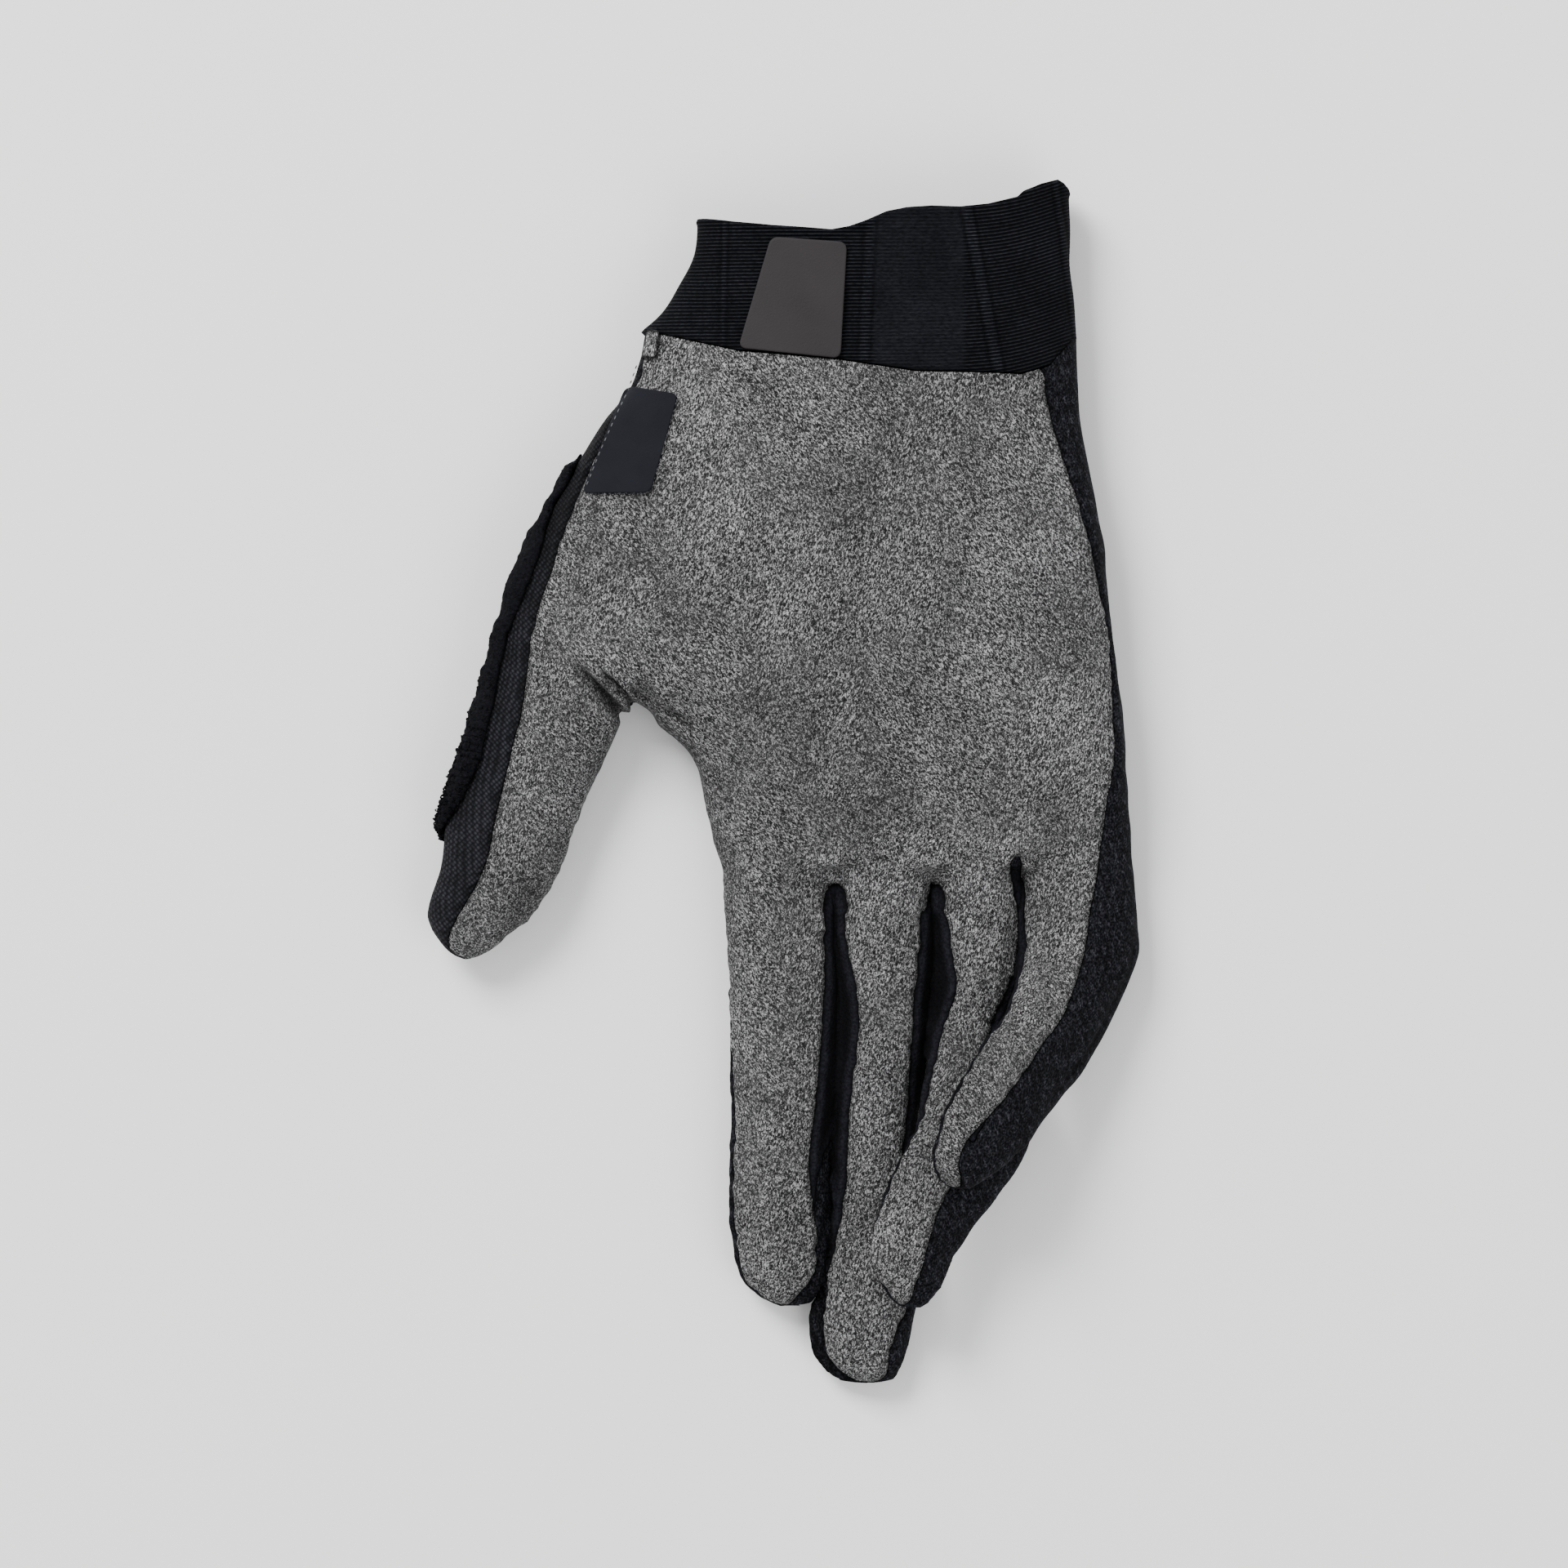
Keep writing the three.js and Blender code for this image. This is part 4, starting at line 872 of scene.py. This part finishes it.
# The columns of points stand 2.2 times as close on the palm side as on the back.
fine_turn = np.linspace(-180, 180, 4001)
ring = cuff_point(fine_turn, 0.5 + 0 * fine_turn)
step = np.linalg.norm(np.diff(ring, axis=0), axis=1) * np.where(np.abs(fine_turn[1:]) < 95, 2.2, 1.0)
run = np.concatenate([[0], np.cumsum(step)])
band_rows, band_columns = 110, 320
turn = np.interp(np.linspace(0, run[-1], band_columns, endpoint=False), run, fine_turn)[None, :]
level = np.linspace(0, 1, band_rows)[:, None]
band = cuff_point(turn, level + 0 * turn)
x, y = band[..., 0], band[..., 1]
on_palm_side = band[..., 2] > 8
slant = 0.45 * 5 * np.logaddexp(0, (x - 16.5) / 5)  # the ribs climb towards the little finger's side
smooth = np.clip((9.6 - np.abs(x + 2.2)) / 1.2, 0, 1) * on_palm_side
rib_count = (y - slant) / rib_pitch
stitched_columns = [  # x at the seam, lean, half the width, strength
    (12.55, -0.197, 0.95, 1.0), (29.05, -0.14, 0.5, 0.8), (-12.9, 0.05, 0.9, 0.7), (-40.6, 0.02, 0.4, 0.8),
]
column = dark_column = 0  # lighter dashes on the ribs, with dark gaps beside them
for base, lean, half, strength in stitched_columns:
    away = x - base - lean * y
    column = column + strength * np.exp(-(away / half) ** 4) * on_palm_side
    for side in (-1, 1):
        beside_it = (away - side * (half + 0.35)) / 0.3
        dark_column = dark_column + strength * np.exp(-beside_it ** 2) * on_palm_side
relief = 0.10 * column - 0.16 * dark_column
relief += 0.35 * swell(band.reshape(-1, 3), 16, 21).reshape(x.shape) * np.sin(np.pi * level)
relief += 0.25 * np.exp(-((level - 0.975) / 0.02) ** 2)  # the woven edge is a little thicker
band = band.reshape(-1, 3)
band_faces = grid_faces(band_rows, band_columns, True)
out = outward(band, halved(band_faces))
if (out * (band - band.mean(axis=0))).sum() < 0:
    band_faces, out = band_faces[:, ::-1], -out
band = band + out * relief.reshape(-1, 1)
band[:, 2] = 0.4 * np.logaddexp(0, band[:, 2] / 0.4)
cuff = new_piece("cuff_elastic", band, band_faces)
tone = 0.62 * (1 + 0.6 * column) * (1 - 0.55 * np.clip(dark_column, 0, 1)) * (1 + 0.45 * smooth)
toned(cuff, (tone * (1 - 0.5 * np.exp(-(level / 0.02) ** 2))).ravel())
toned(cuff, rib_count.ravel(), "rib_count")
toned(cuff, (1.35 * (1 - 0.75 * smooth) + 0 * x).ravel(), "rib_contrast")
wall = cuff.modifiers.new("elastic", "SOLIDIFY")
wall.thickness = 0.0015
wall.offset = -1
elastic = Finish("ribbed elastic", 0.85, 0.05)
strands = elastic.noise(elastic.turned((0.35, 1, 1)), 3200, 2.0, 0.6)
worn = elastic.noise(elastic.place, 120, 3.0, 0.6)
shade = elastic.ramp(strands, (0.3, (0.0022, 0.0023, 0.0032)), (0.7, (0.0085, 0.009, 0.0115)))
shade = elastic.mix("MULTIPLY", 0.6, shade, elastic.ramp(worn, (0.35, 0.7), (0.65, 1.4)))
# Besides their relief, the ribs get a painted highlight along their crests and painted shade in the grooves
# between them.
rib = elastic.math("SINE", elastic.math("MULTIPLY", elastic.kept("rib_count"), 2 * np.pi))
rib = elastic.math("MULTIPLY", rib, elastic.kept("rib_contrast"))
shade = elastic.mix("MULTIPLY", 1.0, elastic.tone(shade), elastic.math("POWER", np.e, rib))
rise = elastic.math("ADD", elastic.math("MULTIPLY", rib, 0.6), elastic.math("MULTIPLY", strands, 0.5))
cuff.data.materials.append(elastic.done(shade, rise, 0.00022))
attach(cuff, "root")
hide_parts("cuff_band")


# Cuff patch: a bare label of moulded rubber with rounded corners and a rolled edge, bonded to the band and
# sewn in at the seam.
def bow(across):
    """A palm section's height over its middle line, from 1 at its middle to 0 at its edges."""
    return (1 - across ** palm_fullness) ** (1 / palm_fullness)


def cuff_top(x, y):
    """The height of the band's palm side over the plan."""
    low = np.interp(x, cuff_seam[:, 0], cuff_seam[:, 1])
    high = np.interp(x, edge_on_palm[:, 0], edge_on_palm[:, 1])
    middle, half_width, z, half_height = cuff_section(np.clip((y - low) / (high - low), 0, 1))
    return z + half_height * bow(np.clip(np.abs(x - middle) / half_width, 0, 1))


def palm_top(x, y):
    """The height of the palm's top over the plan."""
    middle, z, half_width, half_height = tube_columns("palm", y, range(1, 5))
    return z + half_height * bow(np.clip(np.abs(x - middle) / half_width, 0, 1))


def rounded_outline(corners, radius, count):
    """A closed outline with rounded corners: count points, spaced evenly along the sides and the bends."""
    before, after = np.roll(corners, 1, axis=0), np.roll(corners, -1, axis=0)
    into = corners + (before - corners) / np.linalg.norm(before - corners, axis=1)[:, None] * radius
    out = corners + (after - corners) / np.linalg.norm(after - corners, axis=1)[:, None] * radius
    t = np.linspace(0, 1, 12)[None, :, None]
    bends = (1 - t) ** 2 * into[:, None] + 2 * t * (1 - t) * corners[:, None] + t * t * out[:, None]
    line = bends.reshape(-1, 2)
    line = np.vstack([line, line[:1]])
    run = run_along(line)
    at = np.linspace(0, run[-1], count, endpoint=False)
    return np.stack([np.interp(at, run, line[:, 0]), np.interp(at, run, line[:, 1])], 1)


def moulded_patch(name, outline, surface, thick, lift):
    """A patch on a surface: rings from the outline's middle to its edge, which rolls over a quarter circle
    and goes straight down into what it is bonded to."""
    middle = outline.mean(axis=0)
    flat_rings, roll = 24, np.linspace(0, np.pi / 2, 6)
    share = np.concatenate([np.linspace(0.02, 0.94, flat_rings), 1 - 0.035 * (1 - np.sin(roll)), [1.0]])
    rise = np.concatenate([np.ones(flat_rings), np.cos(roll) * 0.3 + 0.7, [-0.3]])
    plan = middle + (outline - middle)[None] * share[:, None, None]
    z = surface(plan[..., 0], plan[..., 1]) + lift + thick * rise[:, None]
    points = np.concatenate([plan, z[..., None]], -1)
    points = np.vstack([points.reshape(-1, 3), points[0].mean(axis=0)])
    step = np.arange(len(outline))
    faces = grid_faces(len(share), len(outline), True)[:, ::-1].tolist()
    faces += np.stack([np.full(len(step), len(points) - 1), step, (step + 1) % len(step)], 1).tolist()
    if np.cross(outline, np.roll(outline, -1, axis=0)).sum() < 0:
        faces = [face[::-1] for face in faces]
    return new_piece(name, points, faces)


cuff_label_corners = from_picture([(944, 292), (1037, 299), (1029, 441), (904, 428)])
cuff_label = moulded_patch("cuff_label", rounded_outline(cuff_label_corners, 1.7, 160), cuff_top, 0.9, 0.35)
rubber = Finish("brown-grey rubber", 0.7, 0.12)
grain = rubber.noise(rubber.place, 2400, 2.0, 0.6)
smudge = rubber.noise(rubber.place, 90, 3.0, 0.6)
shade = rubber.mix("MULTIPLY", 1.0, (0.024, 0.0215, 0.0228, 1), rubber.ramp(smudge, (0.3, 0.88), (0.7, 1.12)))
dull = rubber.ramp(smudge, (0.3, 0.64), (0.7, 0.78))
cuff_label.data.materials.append(rubber.done(shade, grain, 0.00008, dull))
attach(cuff_label, "root")
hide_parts("cuff_patch")

# Palm patch: a smaller bare rubber label on the suede at the heel of the thumb, its left edge caught in
# the seam and run over with a line of dotted stitches.
palm_label_corners = from_picture([(766, 473), (831, 484), (797, 605), (713, 605)])
palm_label = moulded_patch("palm_label", rounded_outline(palm_label_corners, 1.6, 140), palm_top, 0.8, 0.25)
dark_rubber = Finish("blue-black rubber", 0.75, 0.06)
grain = dark_rubber.noise(dark_rubber.place, 2400, 2.0, 0.6)
smudge = dark_rubber.noise(dark_rubber.place, 110, 3.0, 0.6)
cloudy = dark_rubber.ramp(smudge, (0.3, 0.85), (0.7, 1.15))
shade = dark_rubber.mix("MULTIPLY", 1.0, (0.0078, 0.0083, 0.0115, 1), cloudy)
palm_label.data.materials.append(dark_rubber.done(shade, grain, 0.00008))
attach(palm_label, "root")
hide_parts("palm_patch")

# Palm patch stitches: a dotted line of grey thread, sewn through the patch's left edge and on up the seam.
# Each stitch is a long bead, an ellipsoid that leans with the line.
stitch_line = from_picture([(780, 446), (768, 481), (752, 516), (735, 555), (717, 601)])
stitch_pitch, thread_radius, half_stitch, lean = 1.55, 0.13, 0.42, np.radians(-24)
run = run_along(stitch_line)
at = np.arange(0.6, run[-1], stitch_pitch)
middle = np.stack([np.interp(at, run, stitch_line[:, i]) for i in (0, 1)], 1)
turn, ring = np.linspace(0, np.pi, 7)[:, None], np.linspace(0, 2 * np.pi, 8, endpoint=False)[None, :]
x, z = thread_radius * np.sin(turn) * np.cos(ring), thread_radius * np.sin(turn) * np.sin(ring)
y = half_stitch * np.cos(turn) + 0 * ring
bead = [x * np.cos(lean) - y * np.sin(lean), x * np.sin(lean) + y * np.cos(lean), z]
bead = np.stack(bead, -1).reshape(-1, 3)
thread = middle[:, None, :] + bead[None, :, :2]
above_patch = thread[..., 1] > from_picture((0, 470))[1]
high = palm_top(thread[..., 0], thread[..., 1]) + np.where(above_patch, 0.35, 1.05)
thread = np.concatenate([thread, (high + bead[None, :, 2])[..., None]], -1)
thread_faces = (np.arange(len(at))[:, None, None] * len(bead) + grid_faces(7, 8, True)[None]).reshape(-1, 4)
palm_stitches = new_piece("palm_label_stitches", thread.reshape(-1, 3), thread_faces)
cotton = Finish("grey thread", 0.8, 0.2)
twist = cotton.noise(cotton.place, 5000, 2.0)
shade = cotton.ramp(twist, (0.35, (0.03, 0.03, 0.033)), (0.65, (0.12, 0.12, 0.127)))
palm_stitches.data.materials.append(cotton.done(shade, twist, 0.00005))
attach(palm_stitches, "root")

# Thumb wipe: a strip of looped terry, sewn round the outer edge of the thumb from the wrist to the thumb's
# middle joint. Its cut edges are rough with loops.
wipe_line = from_picture([
    (708, 560), (704, 580), (680, 620), (662, 680), (641, 735), (623, 780), (612, 830), (600, 890),
    (590, 930), (575, 965), (560, 990), (545, 1012), (536, 1028),
])
wipe_rows, wipe_columns = 260, 40
wipe_turn = -128  # how far round the thumb the strip reaches, in degrees
along = np.linspace(0, 1, wipe_rows)
over = np.linspace(0, 1, wipe_columns)[None, :]
place = np.interp(along, np.linspace(0, 1, len(wipe_line)), wipe_line[:, 1])
inner_x = np.interp(-place, -wipe_line[:, 1], wipe_line[:, 0])
rows = []
for tube in ("palm", "thumb"):
    fullness = tubes[tube][1]
    columns = np.stack([place, *tube_columns(tube, place, range(1, 6))], 1)
    across = np.clip((inner_x - columns[:, 1]) / columns[:, 3], -1, 0)
    start = -np.degrees(np.arcsin(np.abs(across) ** (fullness / 2)))[:, None]
    rows.append(on_section(columns[:, None, :], start + (wipe_turn - start) * over ** 0.9, fullness))
# The strip passes from the palm's tube to the thumb's in a smooth step.
share = np.clip((-46 - place) / 12, 0, 1)[:, None, None]
strip = rows[0] + (rows[1] - rows[0]) * share * share * (3 - 2 * share)
ragged = np.clip(along[:, None] * 2 - 0.7, 0.15, 1)  # the lower end is rougher
loops = 0.22 * ragged * np.sin(2 * np.pi * along[:, None] * 55 + 5 * over)
strip_faces = grid_faces(wipe_rows, wipe_columns, False)
flat = strip.reshape(-1, 3)
out = outward(flat, halved(strip_faces))
if out[:, 0].mean() > 0:
    strip_faces, out = strip_faces[:, ::-1], -out
rough = 0.14 * swell(flat, 1.6, 31) + 0.30 * swell(flat, 7, 32) + loops.ravel()
edge = np.tile(12 * np.minimum(over, 1 - over), (wipe_rows, 1)).ravel()
rough += 0.5 * np.clip(edge, 0, 1) - 0.2
taper = np.repeat(np.clip(np.minimum(along, 1 - along) * 14, 0.15, 1), wipe_columns)[:, None]
flat = flat + out * ((0.35 + rough[:, None]) * taper - 0.6 * (1 - taper))
flat[:, 2] = np.maximum(flat[:, 2], clear_of_table)
wipe = new_piece("thumb_terry", flat, strip_faces)
wall = wipe.modifiers.new("terry", "SOLIDIFY")
wall.thickness = 0.0010
wall.offset = 1
# The terry's loops: short arches of yarn stood on the strip in every direction, thickest along its edges
# and at its two ends. First come the rows where they stand, then the columns.
draw = np.random.default_rng(41)
on_face, on_edges, on_top_end, on_lower_end = 900, 400, 60, 140
on_ends = on_top_end + on_lower_end
count = on_face + on_edges + on_ends
down = np.concatenate([
    draw.integers(2, 258, on_face), draw.integers(1, 259, on_edges), draw.integers(0, 5, on_top_end),
    draw.integers(250, 260, on_lower_end),
])
aside = np.concatenate([
    draw.integers(1, 39, on_face), draw.choice([0, 1, 38, 39], on_edges), draw.integers(0, 40, on_ends),
])
foot, stand = flat[down * wipe_columns + aside], out[down * wipe_columns + aside]
lie = np.cross(stand, draw.normal(size=(count, 3)))
lie /= np.linalg.norm(lie, axis=1)[:, None]
side = np.cross(stand, lie)
bend = np.linspace(0, np.pi, 7)
around = np.linspace(0, 2 * np.pi, 4, endpoint=False)[:, None]
half, tall = draw.uniform(0.25, 0.45, count), draw.uniform(0.25, 0.7, count) * ragged[down, 0]
spine = (foot[:, None] + lie[:, None] * (half[:, None] * np.cos(bend))[..., None]
         + stand[:, None] * (0.9 + tall[:, None] * np.sin(bend))[..., None])
normal = lie[:, None] * np.cos(bend)[None, :, None] + stand[:, None] * np.sin(bend)[None, :, None]
yarn_radius = 0.13
thick = normal[:, :, None] * np.cos(around) + side[:, None, None] * np.sin(around)
yarn = spine[:, :, None] + yarn_radius * thick
one = np.vstack([grid_faces(7, 4, True), [[3, 2, 1, 0], [24, 25, 26, 27]]])
yarn_faces = (np.arange(count)[:, None, None] * 28 + one[None]).reshape(-1, 4)
yarn = yarn.reshape(-1, 3)
yarn[:, 2] = np.maximum(yarn[:, 2], clear_of_table)
terry_loops = new_piece("thumb_terry_loops", yarn, yarn_faces)
terry = Finish("terry", 1.0, 0.05)
pile = terry.noise(terry.turned((1, 1.5, 1), (0, 0, 30)), 1500, 3.0, 0.65, 0.8)
shade = terry.ramp(pile, (0.3, (0.0018, 0.0018, 0.0026)), (0.72, (0.010, 0.010, 0.013)))
terry_finish = terry.done(shade, pile, 0.0010)
wipe.data.materials.append(terry_finish)
terry_loops.data.materials.append(terry_finish)
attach(terry_loops, "root")
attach(wipe, "root")
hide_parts("thumb_wipe")

# Side tab: a small end of the same suede, folded over and bar-tacked at the wrist's thumb side under the
# cuff. It grows dark towards its edge.
tab_corners, tab_points = from_picture([(792, 403), (808, 406), (803, 441), (785, 438)]), 60
side_tab = moulded_patch("suede_tab", rounded_outline(tab_corners, 0.7, tab_points), palm_top, 0.8, 0.1)
ring_tones = np.concatenate([np.ones(19), np.linspace(0.9, 0.12, 4), np.full(8, 0.12)])
toned(side_tab, np.append(np.repeat(ring_tones, tab_points), 1.0))
side_tab.data.materials.append(suede_finish)
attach(side_tab, "root")
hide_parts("side_tab")
